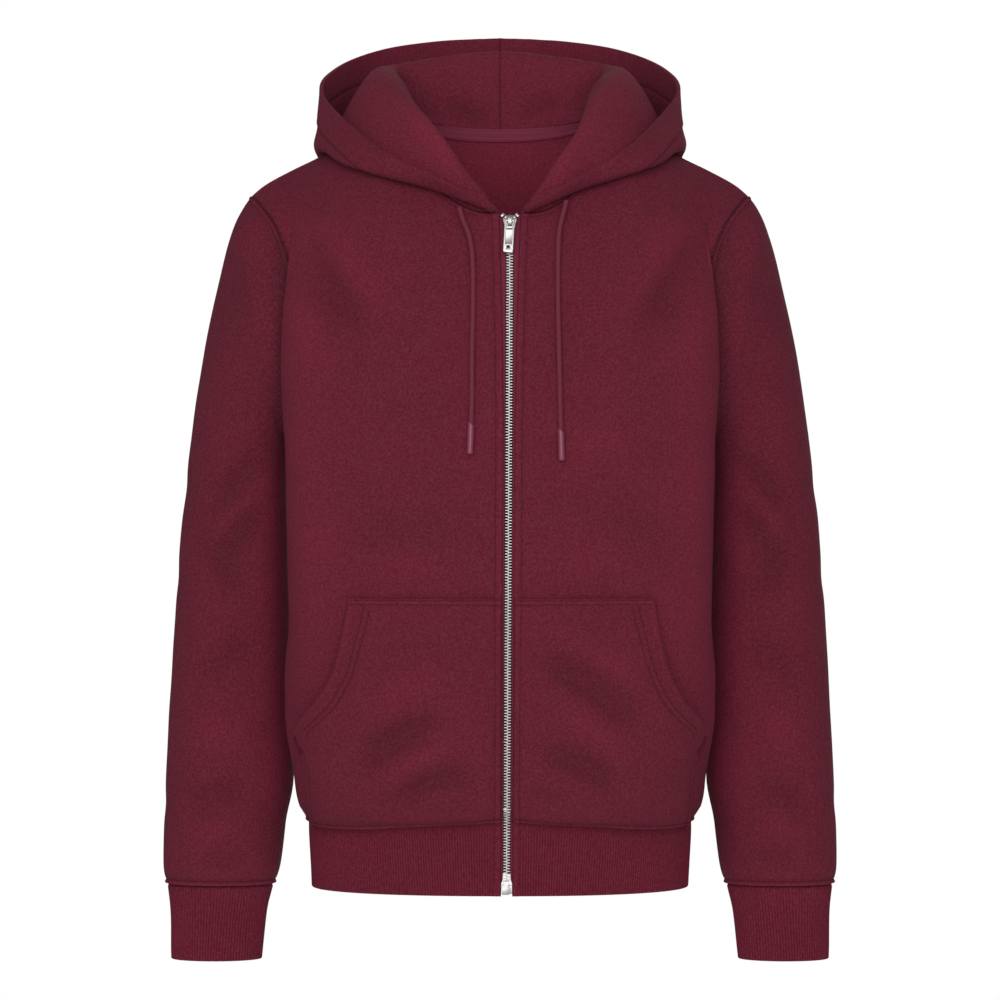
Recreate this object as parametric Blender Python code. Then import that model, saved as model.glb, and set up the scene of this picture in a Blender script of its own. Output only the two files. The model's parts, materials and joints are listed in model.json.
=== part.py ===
"""Zip-up hooded sweatshirt, hollow and filled out as it is worn.

Every piece of cloth is a wall with a gap of SEAM to its neighbours.  Sizes are
in millimetres and turn to metres where a mesh is made.  +Z is up, the front
faces -Y, and the wearer's left is +X.  The origin lies between the shoulders,
level with the base of the neck, which is where a wearer holds the garment.
"""

import math
from bisect import bisect_right
from collections import namedtuple

import bmesh
import bpy
from mathutils import Matrix, Vector

COLLECTION = "zip_up_hoodie"
MM = 0.001

# Cloth
FLEECE = 2.2            # wall of the brushed fleece
RIB_WALL = 2.8          # rib knit, folded double
RIB_RELIEF = 0.55       # from the valley of a rib to its crest
TAPE = 1.0              # woven tape
SEAM = 0.3              # gap between pieces that are sewn together
BAND_INSET = 0.8        # how far the bands lie inside the cloth above them
CREASE_START = 0.75     # cosine between a piece and its seam below which the seam is a crease
CREASE_LEAN = 0.5       # how far the walls in such a crease lean back to their own normals
MITRE_LIMIT = 0.8       # a seam's corner is never deeper than the wall over this
SHARP_EDGE = math.radians(50)   # a steeper edge is shaded as a corner

# Columns and rows of the walls
NECK_FRONT_COLUMNS = 8
NECK_BACK_COLUMNS = 9
SHOULDER_COLUMNS = 7
ARMHOLE_ROWS = 11
FRONT_COLUMNS = NECK_FRONT_COLUMNS + SHOULDER_COLUMNS
BACK_COLUMNS = NECK_BACK_COLUMNS + SHOULDER_COLUMNS
SLEEVE_COLUMNS = 2 * ARMHOLE_ROWS
BODY_STEPS_PER_COLUMN = 12      # two steps make one rib of the waistband
CUFF_STEPS_PER_COLUMN = 8       # two steps make one rib of a cuff
SECTION_STEPS = 240

# Torso: level sections.  Depths are the y of centre front, centre back and the widest point.
# arm_room is how far the side gives way behind the front fold, where the arm hangs.
TORSO_FIELDS = "z half_width front back widest front_power back_power arm_room"
TorsoRow = namedtuple("TorsoRow", TORSO_FIELDS)
TORSO = (
    TorsoRow(-636.0, 174.0, -113.0, 107.0, -10.0, 2.3, 2.2, 0.0),
    TorsoRow(-622.0, 181.5, -121.0, 113.0, -22.0, 2.3, 2.1, 1.0),
    TorsoRow(-600.0, 185.0, -127.0, 117.0, -32.0, 2.3, 2.0, 2.0),
    TorsoRow(-550.0, 187.0, -132.0, 121.0, -42.0, 2.35, 1.95, 4.0),
    TorsoRow(-480.0, 188.5, -136.0, 125.0, -50.0, 2.4, 1.95, 6.0),
    TorsoRow(-400.0, 190.5, -139.0, 129.0, -56.0, 2.4, 1.95, 7.0),
    TorsoRow(-290.0, 192.5, -140.0, 134.0, -62.0, 2.4, 1.95, 7.0),
)
ARM_ROOM_Y = 20.0       # middle of that hollow, and its half width
ARM_ROOM_REACH = 40.0
TORSO_ROWS = (-622.0, -600.0, -560.0, -500.0, -430.0, -360.0)
UNDERARM_Z = -290.0
SIDE_SEAM = 0.55        # share of the half girth from centre front to the side seam

# Where the body meets the waistband, along the half girth from front (0) to back (2)
HemRow = namedtuple("HemRow", "along z")
HEM = (
    HemRow(0.0, -627.0),
    HemRow(0.25, -629.0),
    HemRow(0.5, -635.5),
    HemRow(0.8, -636.0),
    HemRow(1.0, -633.5),
    HemRow(1.5, -637.0),
    HemRow(2.0, -636.0),
)

# Lower edge of the waistband: a level section as above
WAISTBAND_EDGE = TorsoRow(-696.0, 170.6, -106.5, 104.0, -4.0, 2.3, 2.2, 0.0)

# Zip
ZIP_EDGE = 5.0          # cloth edge to the middle of the zip
ZIP_TOP_EDGE = 9.4      # the same at the neck, where the edges part
ZIP_SHIFT_TOP = 8.8     # the zip stands off the middle of the body, at the neck
ZIP_SHIFT_BOTTOM = 5.8  # and at the hem
ZIP_SHIFT_WIDTH = 170.0 # from the middle to where the cloth no longer follows it
ZIP_SHIFT_DEPTH = 60.0  # in front of the middle plane, the cloth follows it fully
ZIP_TOP_Z = -92.0
ZIP_BOTTOM_Z = -692.0

# Neck seam: half width, depth and height from centre front to centre back
NeckRow = namedtuple("NeckRow", "x y z")
NECK_FRONT = (
    NeckRow(ZIP_TOP_EDGE, -97.0, ZIP_TOP_Z),
    NeckRow(34.0, -96.0, -88.5),
    NeckRow(60.0, -86.0, -71.0),
    NeckRow(81.0, -58.0, -38.0),
    NeckRow(92.0, -25.0, -8.0),
    NeckRow(94.0, 0.0, 5.0),
)
NECK_BACK = (
    NeckRow(94.0, 0.0, 5.0),
    NeckRow(85.0, 38.0, 4.0),
    NeckRow(60.0, 66.0, 1.0),
    NeckRow(30.0, 80.0, -1.0),
    NeckRow(0.0, 85.0, -1.5),
)

# Shoulder seam from the neck to the shoulder point
SHOULDER = (
    NeckRow(94.0, 0.0, 5.0),
    NeckRow(130.0, 0.5, -15.5),
    NeckRow(166.0, 2.0, -34.5),
    NeckRow(189.5, 3.0, -45.5),
    NeckRow(214.0, 4.0, -58.5),
    NeckRow(226.0, 5.0, -68.0),
)

# Armhole between the underarm and the shoulder point
FRONT_ARMHOLE = (
    NeckRow(181.0, -40.0, -262.0),
    NeckRow(182.5, -52.0, -215.0),
    NeckRow(184.0, -54.0, -165.0),
    NeckRow(190.0, -48.0, -128.0),
    NeckRow(201.0, -37.0, -101.0),
    NeckRow(214.0, -18.0, -82.0),
)
BACK_ARMHOLE = (
    NeckRow(181.0, 36.0, -264.0),
    NeckRow(182.0, 58.0, -215.0),
    NeckRow(186.0, 63.0, -165.0),
    NeckRow(193.0, 57.0, -128.0),
    NeckRow(204.0, 43.0, -99.0),
    NeckRow(217.0, 24.0, -81.0),
)
FRONT_FOLD = 8.0        # the front stands out beyond its armhole in a soft fold
FOLD_CREST = (0.83, 0.17)       # its crest and half width, as shares of the front's columns
FOLD_RISE = 1.15                # it dies out before it reaches the shoulder

# Yoke: how the cloth leans in from the underarm to the shoulder.  Its rows follow a power of
# their rise at the middle of the body, and the arc of a circle towards the armhole.
YOKE_LEAN_X = 1.5
YOKE_LEAN_Y = 1.7
YOKE_ARC_FROM = 0.55            # share of the columns over which the arc takes over
YOKE_ARMHOLE_FROM = 0.5         # share of the columns that is drawn to the armhole
YOKE_ARMHOLE_POWER = 1.9
FRONT_ARC = (0.0, 0.85)         # share of the arc at the middle and at the armhole
BACK_ARC = (0.45, 0.85)

# Sleeve: outer and inner point of each ring, the depth of its middle and its half depth
SleeveRow = namedtuple("SleeveRow", "outer_x outer_z inner_x inner_z middle half_depth")
SLEEVE = (
    SleeveRow(237.0, -85.0, 191.0, -301.0, 7.0, 56.0),
    SleeveRow(248.0, -113.0, 193.0, -315.0, 12.0, 55.0),
    SleeveRow(257.5, -150.0, 193.0, -334.0, 17.0, 54.0),
    SleeveRow(267.0, -191.0, 192.5, -357.0, 20.0, 54.0),
    SleeveRow(275.0, -236.0, 192.0, -384.0, 23.0, 54.0),
    SleeveRow(283.0, -290.0, 191.5, -420.0, 26.0, 54.0),
    SleeveRow(290.0, -350.0, 191.0, -464.0, 28.0, 53.0),
    SleeveRow(295.5, -414.0, 191.0, -512.0, 27.0, 52.0),
    SleeveRow(299.5, -480.0, 192.0, -562.0, 25.0, 51.0),
    SleeveRow(303.0, -548.0, 193.5, -610.0, 22.0, 50.0),
    SleeveRow(306.0, -606.0, 196.5, -646.0, 20.0, 48.0),
    SleeveRow(307.5, -655.0, 200.0, -674.0, 18.0, 45.0),
    SleeveRow(307.5, -682.0, 202.5, -686.0, 17.0, 40.0),
    SleeveRow(304.5, -696.5, 206.5, -696.5, 17.0, 34.0),
)
CUFF = (
    SleeveRow(301.0, -720.0, 213.0, -720.0, 17.0, 29.5),
    SleeveRow(300.2, -765.0, 218.0, -765.0, 17.0, 27.0),
)

# Hood: along runs from centre front (0) over the shoulder seam (1) to centre back (2).
# The cloth rises from the neck seam, rolls over, drops into a trough and rises to its rim.
HoodRow = namedtuple("HoodRow", "along roll trough rim")
HOOD = (
    HoodRow(0.0, (12.0, -97.5, -84.5), (17.0, -105.0, -89.5), (19.0, -111.0, -84.5)),
    HoodRow(0.15, (34.0, -87.0, -62.0), (38.0, -102.0, -82.0), (38.0, -111.0, -74.5)),
    HoodRow(0.33, (55.0, -68.0, -35.0), (68.0, -89.0, -69.0), (69.0, -102.0, -57.5)),
    HoodRow(0.6, (77.0, -38.0, 0.5), (103.0, -82.0, -58.5), (106.0, -90.0, -37.0)),
    HoodRow(0.85, (95.0, 5.0, 34.0), (140.0, -55.0, -46.0), (137.0, -45.0, -8.0)),
    HoodRow(1.0, (107.0, 45.0, 49.5), (160.0, -5.0, -29.0), (159.5, 25.0, 30.0)),
    HoodRow(1.28, (100.5, 80.0, 57.0), (152.0, 72.0, -62.0), (156.0, 85.0, 57.0)),
    HoodRow(1.55, (70.0, 100.0, 65.0), (118.0, 126.0, -92.0), (115.0, 148.0, 80.5)),
    HoodRow(1.78, (36.0, 108.0, 70.5), (64.0, 146.0, -116.0), (60.5, 186.0, 93.5)),
    HoodRow(2.0, (0.0, 110.0, 73.5), (0.0, 152.0, -124.0), (0.0, 200.0, 98.0)),
)
HOOD_PARED = 1.1        # wall of the hood at the zip, where four layers lie together
HOOD_PARED_COLUMNS = 3
HOOD_RISE_ROWS = 4
HOOD_FALL_ROWS = 5
HOOD_RIM_ROWS = 5
# The pull of the hood's curves: up from the neck seam, out over the roll, under the pouch by
# its width or its height, and up to the rim, where it stands steeper than a straight line
HOOD_RISE = 1.1
HOOD_ROLL = 1.25
HOOD_POUCH_WIDTH = 0.6
HOOD_POUCH = 0.42
HOOD_STAND = 0.6
HOOD_STEEPNESS = 2.0

# Neck tape, inside the back neck seam
NECK_TAPE_DEPTH = 9.0
NECK_TAPE_DROP = 0.7    # below the seam
NECK_TAPE_HALF = 66.0
NECK_TAPE_GAP = 0.6     # behind it, over the curve of the back

# Pocket: its rows in rows of the front, its width along the cloth from the zip, and how far it
# stands off the front in its middle and at its free, slanted edge
PocketRow = namedtuple("PocketRow", "row width middle edge")
POCKET = (
    PocketRow(0.12, 190.0, 3.0, 0.3),
    PocketRow(1.0, 178.0, 8.0, 0.4),
    PocketRow(2.0, 176.0, 12.0, 0.6),
    PocketRow(3.0, 199.0, 13.0, 2.0),
    PocketRow(3.33, 184.0, 13.0, 5.0),
    PocketRow(3.62, 167.0, 12.0, 7.5),
    PocketRow(4.0, 150.0, 10.0, 8.0),
    PocketRow(4.45, 140.0, 7.0, 6.0),
    PocketRow(4.97, 134.0, 0.4, 0.0),
)
POCKET_COLUMNS = 9
POCKET_CROWDING = 1.3   # columns are closer together towards the side
POCKET_GAP = 0.55       # between the front and the pocket's sewn edges
POCKET_MARGIN = 0.6     # from the front's edge at the zip to the pocket
POCKET_PUFF = 0.6       # below 1, the pocket rises quickly from its sewn edge

# Zip, in its own frame: across, up along the zip, and out from the middle of its tapes
TAPE_INNER = 3.6
TAPE_OUTER = 15.0
TAPE_TOP = -90.5
TAPE_GAP = 0.5          # between the tapes and the inside of the cloth over them
BOX_TOP = -682.5
BOX_BOTTOM = -694.5
BOX_HALF_WIDTH = 4.4
BOX_HALF_DEPTH = 2.1
CHAIN_HALF_WIDTH = 3.3
CHAIN_HALF_DEPTH = 1.5
CHAIN_DROP = 8.0        # from the slider's middle down to the closed chain
SLIDER_Z = -101.0
SLIDER_FRONT = ((-4.6, -7.0), (4.6, -7.0), (5.2, -2.0), (6.0, 1.0), (6.0, 4.0), (4.4, 6.6),
                (-4.4, 6.6), (-6.0, 4.0), (-6.0, 1.0), (-5.2, -2.0))
SLIDER_NARROWING = 0.92                 # of its back plate
SLIDER_FRONT_OUT = (3.4, 4.8)
SLIDER_BACK_OUT = (-3.4, -1.9)
SLIDER_FLANGE = (3.5, 4.6, 0.9)         # inner side, outer side, depth of its lip
SLIDER_FLANGE_ENDS = (-6.6, 1.0)
SLIDER_POST = (1.2, 3.2, 6.2)           # half width, lower and upper end
FUSED = 0.4                             # how far joined metal parts reach into each other
BRIDGE = ((-5.2, 4.6), (-3.7, 8.6), (3.7, 8.6), (5.2, 4.6), (3.5, 4.6), (2.5, 7.5), (-2.5, 7.5),
          (-3.5, 4.6))
BRIDGE_HALF_WIDTH = 1.6
TAB_AXIS_OUT = 6.3
TAB_BAR_RADIUS = 0.75
TAB_BAR_SIDES = 10
TAB_HALF_WIDTH = 4.4
TAB_TOP = 0.4                           # above its axis
TAB_CORNER = 2.0                        # how far its lower corners are cut off
TAB_WINDOW = (2.4, -5.5)                # half width and lower end
TAB_LENGTH = 27.0
TAB_HALF_DEPTH = 0.75
TAB_HOLE = (1.6, -22.5)                 # radius and height
TAB_HOLE_SIDES = 14
TAB_SWING = math.radians(3.0)           # rests with its lower end in towards the zip
TAB_LEAN = math.radians(3.0)            # and leaning to the wearer's right
STOP_SIZE = (2.8, 4.0, 2.0)
STOP_ACROSS = 6.5
STOP_Z = -93.2

# Drawcords: the free ends that hang from the hood, and their dipped tips
CORD_RADIUS = 2.3
CORD_POINTS = 21
TIP_RADIUS = 3.0
TIP_SIDES = 14
TIP_RINGS = ((0.0, 0.9), (0.6, 1.0), (23.3, 1.0), (24.5, 0.7))    # length, share of its radius
CORD_RIGHT = (
    (-36.0, -105.5, -87.5),
    (-33.0, -107.0, -98.0),
    (-27.5, -110.5, -112.0),
    (-24.5, -115.0, -130.0),
    (-23.7, -125.5, -170.3),
    (-24.5, -135.2, -214.6),
    (-24.6, -140.9, -258.6),
    (-25.4, -142.3, -281.6),
)
CORD_LEFT = (
    (58.5, -101.5, -81.5),
    (56.0, -104.0, -92.0),
    (52.5, -108.5, -107.0),
    (51.2, -114.0, -128.0),
    (50.9, -125.8, -170.4),
    (51.7, -135.0, -214.6),
    (52.5, -140.5, -258.6),
    (53.2, -142.0, -287.3),
)

COLOURS = {
    "fleece": (0.125, 0.017, 0.035),
    "rib": (0.115, 0.015, 0.031),
    "tape": (0.105, 0.013, 0.028),
    "nickel": (0.72, 0.72, 0.71),
    "cord": (0.13, 0.02, 0.04),
    "tip": (0.24, 0.06, 0.10),
}


# ---------------------------------------------------------------- curves and tables

def blend(low, high, share):
    return low + (high - low) * share


def ease(share):
    share = min(max(share, 0.0), 1.0)
    return share * share * (3.0 - 2.0 * share)


def smooth_read(keys, values, key):
    """Read a smooth curve through the pairs of rising keys and values."""
    last = len(keys) - 1
    index = max(0, min(last - 1, bisect_right(keys, key) - 1))
    span = keys[index + 1] - keys[index]
    share = min(max((key - keys[index]) / span, 0.0), 1.0)

    def slope(at):
        low, high = max(0, at - 1), min(last, at + 1)
        return (values[high] - values[low]) / (keys[high] - keys[low])

    start, end = values[index], values[index + 1]
    start_pull, end_pull = slope(index) * span, slope(index + 1) * span
    cube, square = share ** 3, share ** 2
    return (start * (2 * cube - 3 * square + 1) + start_pull * (cube - 2 * square + share)
            + end * (3 * square - 2 * cube) + end_pull * (cube - square))


def smooth_path(points, steps=24):
    """A dense smooth path through a few points."""
    points = [Vector(point) for point in points]
    keys = [0.0]
    for first, second in zip(points, points[1:]):
        keys.append(keys[-1] + (second - first).length)
    path = []
    for first, second in zip(keys, keys[1:]):
        path += [smooth_read(keys, points, blend(first, second, i / steps)) for i in range(steps)]
    return path + [points[-1]]


def lengths_along(path):
    """The length from the start of the path to each of its points."""
    lengths = [0.0]
    for first, second in zip(path, path[1:]):
        lengths.append(lengths[-1] + (second - first).length)
    return lengths


def even_points(path, columns, start=0.0, end=None):
    """Points at even steps of length along a path."""
    lengths = lengths_along(path)
    end = lengths[-1] if end is None else end
    points = []
    for column in range(columns + 1):
        place = blend(start, end, column / columns)
        index = max(0, min(len(path) - 2, bisect_right(lengths, place) - 1))
        share = (place - lengths[index]) / (lengths[index + 1] - lengths[index])
        points.append(path[index].lerp(path[index + 1], share))
    return points


def torso_row(z):
    """The torso's section at a height between the rows of its table."""
    keys = [row.z for row in TORSO]
    fields = range(1, len(TorsoRow._fields))
    values = [[row[field] for row in TORSO] for field in fields]
    return TorsoRow(z, *(smooth_read(keys, value, z) for value in values))


def half_section(row):
    """Left half of a level section, from centre front round to centre back."""
    path = []
    for step in range(SECTION_STEPS + 1):
        turn = math.pi * step / SECTION_STEPS
        in_front = turn < math.pi / 2
        power = 2.0 / (row.front_power if in_front else row.back_power)
        depth = (row.front if in_front else row.back) - row.widest
        x = row.half_width * math.sin(turn) ** power
        y = row.widest + depth * abs(math.cos(turn)) ** power
        x -= row.arm_room * math.exp(-((y - ARM_ROOM_Y) / ARM_ROOM_REACH) ** 2) * math.sin(turn)
        path.append(Vector((x, y, row.z)))
    path[-1].x = 0.0
    return path


def section_columns(row, front_edge=ZIP_EDGE):
    """Columns of a section: the front's from the zip to the side, the back's from there on."""
    path = half_section(row)
    girth = lengths_along(path)[-1]
    side = SIDE_SEAM * girth
    front = even_points(path, FRONT_COLUMNS, front_edge, side)
    back = even_points(path, BACK_COLUMNS, side, girth)
    return front, back


def zip_shift(point):
    """Carry a point of the front sideways with the zip, which is off the middle."""
    reach = max(0.0, 1.0 - (point.x / ZIP_SHIFT_WIDTH) ** 2) ** 2
    in_front = ease(-point.y / ZIP_SHIFT_DEPTH)
    height = (point.z - ZIP_BOTTOM_Z) / (ZIP_TOP_Z - ZIP_BOTTOM_Z)
    shift = blend(ZIP_SHIFT_BOTTOM, ZIP_SHIFT_TOP, min(max(height, 0.0), 1.0))
    return Vector((point.x + shift * reach * in_front, point.y, point.z))


def placed(grid, side):
    """A grid modelled for the left half, put on the side asked for (+1 left, -1 right)."""
    return [[zip_shift(Vector((side * p.x, p.y, p.z))) for p in row] for row in grid]


# ---------------------------------------------------------------- cloth panels

class Panel:
    """A piece of cloth: a grid of points on its outer face, with rows and columns."""

    def __init__(self, name, grid, turned=False, closed=False, walls=None):
        self.name = name
        self.grid = grid
        self.turned = turned
        self.closed = closed
        self.walls = walls or [FLEECE] * len(grid[0])
        self.normals = None
        self.depths = None
        self.outer = None
        self.inner = None

    def quads(self):
        columns = len(self.grid[0])
        spans = columns if self.closed else columns - 1
        for row in range(len(self.grid) - 1):
            for column in range(spans):
                following = (column + 1) % columns
                yield (row, column), (row, following), (row + 1, following), (row + 1, column)

    def point(self, place):
        return self.grid[place[0]][place[1]]


def point_key(point):
    return tuple(round(value, 2) for value in point)


def quad_normals(panel):
    """Every quad of a panel with the unit normal of its outer side."""
    for quad in panel.quads():
        a, b, c, d = (panel.point(place) for place in quad)
        normal = (c - a).cross(d - b).normalized()
        yield quad, -normal if panel.turned else normal


def set_normals(panels):
    """Give every point the mean normal of all panels that meet in it, so edges meet in mitres.

    Where a seam lies in a crease, the walls lean part of the way back to their own normals.
    """
    shared = {}
    owned = {}
    for panel in panels:
        own = owned.setdefault(panel.name, {})
        for quad, normal in quad_normals(panel):
            for place in quad:
                key = point_key(panel.point(place))
                shared[key] = shared.get(key, Vector()) + normal
                own[key] = own.get(key, Vector()) + normal
    for panel in panels:
        own = owned[panel.name]
        panel.normals = []
        for row in panel.grid:
            keys = [point_key(point) for point in row]
            means = [(shared[key].normalized(), own[key].normalized()) for key in keys]
            panel.normals.append([crease_normal(mean, alone) for mean, alone in means])
        panel.depths = mitre_depths(panel)


def crease_normal(mean, alone):
    """A seam's shared normal, leaned back towards the panel's own in a tight crease."""
    tightness = ease((CREASE_START - mean.dot(alone)) / CREASE_START)
    return mean.lerp(alone, CREASE_LEAN * tightness).normalized()


def mitre_depths(panel):
    """How much deeper the inside lies than the wall is thick, where pieces meet at an angle."""
    leans = [[1.0] * len(row) for row in panel.grid]
    for quad, normal in quad_normals(panel):
        for row, column in quad:
            lean = normal.dot(panel.normals[row][column])
            leans[row][column] = min(leans[row][column], lean)
    return [[1.0 / max(lean, MITRE_LIMIT) for lean in row] for row in leans]


def edge_run(line, index, closed):
    """Direction of an edge at one of its points."""
    last = len(line) - 1
    before = line[index - 1] if index > 0 or closed else line[0]
    after = line[(index + 1) % len(line)] if index < last or closed else line[last]
    return after - before


def step_back(point, inner, run, normal, amount):
    """The step from an edge point into its piece, square to the seam's mitre."""
    way = run.cross(normal).normalized()
    return way * math.copysign(amount, way.dot(inner - point))


def drawn_in(panel, amount):
    """The panel's points with its edges drawn back from the seams."""
    rows, columns = len(panel.grid), len(panel.grid[0])
    edges = [[point.copy() for point in row] for row in panel.grid]
    for r, beside in ((0, 1), (rows - 1, rows - 2)):
        for c in range(columns):
            point, inner = panel.grid[r][c], panel.grid[beside][c]
            run = edge_run(panel.grid[r], c, panel.closed)
            edges[r][c] += step_back(point, inner, run, panel.normals[r][c], amount)
    if panel.closed:
        return edges
    for c, beside in ((0, 1), (columns - 1, columns - 2)):
        line = [row[c] for row in panel.grid]
        for r in range(rows):
            point, inner = panel.grid[r][c], panel.grid[r][beside]
            run = edge_run(line, r, False)
            edges[r][c] += step_back(point, inner, run, panel.normals[r][c], amount)
    return edges


def new_object(name, bm, material):
    """Turn a bmesh in millimetres into an object in metres."""
    bmesh.ops.scale(bm, vec=(MM, MM, MM), verts=bm.verts)
    bmesh.ops.recalc_face_normals(bm, faces=bm.faces)
    mesh = bpy.data.meshes.new(name)
    bm.to_mesh(mesh)
    bm.free()
    mesh.shade_smooth()
    mesh.set_sharp_from_angle(angle=SHARP_EDGE)
    mesh.materials.append(material)
    obj = bpy.data.objects.new(name, mesh)
    bpy.data.collections[COLLECTION].objects.link(obj)
    return obj


def bridge_edge(bm, first, second, steps=1):
    """Join a fine row of vertices to a coarse one that has one vertex for every few."""
    if steps == 1:
        for a, b, c, d in zip(first, first[1:], second[1:], second):
            if (a.co - c.co).length < (b.co - d.co).length:
                bm.faces.new((a, b, c))
                bm.faces.new((a, c, d))
            else:
                bm.faces.new((a, b, d))
                bm.faces.new((b, c, d))
        return
    half = steps // 2
    for column in range(len(second) - 1):
        low = column * steps
        for step in range(steps):
            corner = second[column] if step < half else second[column + 1]
            bm.faces.new((first[low + step], first[low + step + 1], corner))
        bm.faces.new((second[column], first[low + half], second[column + 1]))


def wall_mesh(outer, inner, closed, steps=1):
    """A closed wall between an outer grid and an inner one with fewer columns."""
    bm = bmesh.new()
    faces = []
    for grid in (outer, inner):
        faces.append([[bm.verts.new(point) for point in row] for row in grid])
    for rows in faces:
        for low, high in zip(rows, rows[1:]):
            around = zip(low, low[1:] + low[:1], high[1:] + high[:1], high)
            quads = list(around)
            for quad in (quads if closed else quads[:-1]):
                bm.faces.new(quad)
    outer_rows, inner_rows = faces
    for end in (0, -1):
        fine, coarse = outer_rows[end], inner_rows[end]
        if closed:
            fine, coarse = fine + fine[:1], coarse + coarse[:1]
        bridge_edge(bm, fine, coarse, steps)
    if not closed:
        for end in (0, -1):
            bridge_edge(bm, [row[end] for row in outer_rows], [row[end] for row in inner_rows])
    return bm


def set_walls(panel):
    """Outer and inner points of the panel's wall."""
    panel.outer = drawn_in(panel, SEAM / 2)
    panel.inner = []
    for points, normals, depths in zip(panel.outer, panel.normals, panel.depths):
        columns = zip(points, normals, depths, panel.walls)
        panel.inner.append([p - n * (depth * wall) for p, n, depth, wall in columns])


def between(grid, row, column):
    """A value of a grid read between its rows and columns."""
    low_row = max(0, min(len(grid) - 2, int(row)))
    low_column = max(0, min(len(grid[0]) - 2, int(column)))
    across, up = column - low_column, row - low_row
    low = grid[low_row][low_column].lerp(grid[low_row][low_column + 1], across)
    high = grid[low_row + 1][low_column].lerp(grid[low_row + 1][low_column + 1], across)
    return low.lerp(high, up)


# ---------------------------------------------------------------- body

def hem_z(along):
    return smooth_read([row.along for row in HEM], [row.z for row in HEM], along)


def torso_columns():
    """Rows of front and back columns from the waistband up to the underarm."""
    fronts, backs = [], []
    front, back = section_columns(TORSO[0])
    for column, point in enumerate(front):
        point.z = hem_z(column / FRONT_COLUMNS)
    for column, point in enumerate(back):
        point.z = hem_z(1.0 + column / BACK_COLUMNS)
    fronts.append(front)
    backs.append(back)
    for z in TORSO_ROWS + (UNDERARM_Z,):
        front, back = section_columns(torso_row(z))
        fronts.append(front)
        backs.append(back)
    return fronts, backs


def yoke(base, top, armhole, fullness, fold):
    """Rows from the underarm to the neck and shoulder, for columns that end at the armhole."""
    columns = len(base) - 1
    grid = []
    for row in range(1, ARMHOLE_ROWS + 1):
        rise = row / ARMHOLE_ROWS
        angle = rise * math.pi / 2
        line = []
        for column in range(columns + 1):
            low, high = base[column], top[column]
            across = column / columns
            roundness = blend(fullness[0], fullness[1], ease(across / YOKE_ARC_FROM))
            bend_y = blend(rise ** YOKE_LEAN_Y, 1.0 - math.cos(angle), roundness)
            bend_z = blend(rise, math.sin(angle), roundness)
            line.append(Vector((blend(low.x, high.x, rise ** YOKE_LEAN_X),
                                blend(low.y, high.y, bend_y), blend(low.z, high.z, bend_z))))
        gap = armhole[row] - line[-1]
        for column in range(columns + 1):
            across = column / columns
            near = (across - YOKE_ARMHOLE_FROM) / (1.0 - YOKE_ARMHOLE_FROM)
            line[column] += gap * max(0.0, near) ** YOKE_ARMHOLE_POWER
            crest = ease(1.0 - abs(across - FOLD_CREST[0]) / FOLD_CREST[1])
            height = math.sin(math.pi * min(1.0, rise * FOLD_RISE)) ** 0.8
            line[column].x += fold * height * crest
        grid.append(line)
    grid[-1] = [point.copy() for point in top]
    return grid


def armhole_points(table, underarm):
    """Armhole seam from the underarm to the shoulder point, at even steps."""
    path = smooth_path([underarm] + [Vector(row) for row in table] + [Vector(SHOULDER[-1])])
    return even_points(path, ARMHOLE_ROWS)


def body_grids():
    """Grids of the left front and the left half of the back, with the armhole and neck seams."""
    fronts, backs = torso_columns()
    neck_front = even_points(smooth_path(NECK_FRONT), NECK_FRONT_COLUMNS)
    neck_back = even_points(smooth_path(NECK_BACK), NECK_BACK_COLUMNS)
    shoulder = even_points(smooth_path(SHOULDER), SHOULDER_COLUMNS)
    underarm = fronts[-1][-1]
    front_armhole = armhole_points(FRONT_ARMHOLE, underarm)
    back_armhole = armhole_points(BACK_ARMHOLE, underarm)
    front_top = neck_front + shoulder[1:]
    front = fronts + yoke(fronts[-1], front_top, front_armhole, FRONT_ARC, FRONT_FOLD)
    from_middle = [list(reversed(row)) for row in backs]
    back_top = list(reversed(neck_back)) + shoulder[1:]
    back = from_middle + yoke(from_middle[-1], back_top, back_armhole, BACK_ARC, 0.0)
    seams = {
        "armhole": list(reversed(front_armhole)) + back_armhole[1:-1],
        "neck": neck_front + neck_back[1:],
    }
    return front, back, seams


# ---------------------------------------------------------------- sleeves

def sleeve_ring(row, columns=SLEEVE_COLUMNS):
    """A ring from its outer point forward, round under the arm and back."""
    outer = Vector((row.outer_x, row.middle, row.outer_z))
    inner = Vector((row.inner_x, row.middle, row.inner_z))
    middle, reach = (outer + inner) / 2, (outer - inner) / 2
    depth = Vector((0.0, -row.half_depth, 0.0))
    ring = []
    for column in range(columns):
        turn = 2 * math.pi * column / columns
        ring.append(middle + reach * math.cos(turn) + depth * math.sin(turn))
    return ring


# ---------------------------------------------------------------- hood

def hood_profile(neck, roll, trough, rim):
    """One rib of the hood from the neck seam over its roll, through the trough to the rim."""
    out = Vector((trough.x - roll.x, trough.y - roll.y, 0.0))
    reach = out.length
    out.normalize()
    rise = (roll - neck) * HOOD_RISE
    over = out * (reach * HOOD_ROLL)
    under = out * max(reach * HOOD_POUCH_WIDTH, (rim.z - trough.z) * HOOD_POUCH)
    stand = rim - trough
    stand.z *= HOOD_STEEPNESS
    stand *= HOOD_STAND
    legs = (
        (neck, roll, rise, over, HOOD_RISE_ROWS),
        (roll, trough, over, under, HOOD_FALL_ROWS),
        (trough, rim, under, stand, HOOD_RIM_ROWS),
    )
    points = []
    for start, end, leave, arrive, rows in legs:
        for row in range(rows):
            share = row / rows
            cube, square = share ** 3, share ** 2
            points.append(start * (2 * cube - 3 * square + 1)
                          + leave * (cube - 2 * square + share)
                          + end * (3 * square - 2 * cube) + arrive * (cube - square))
    return points + [rim]


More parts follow.
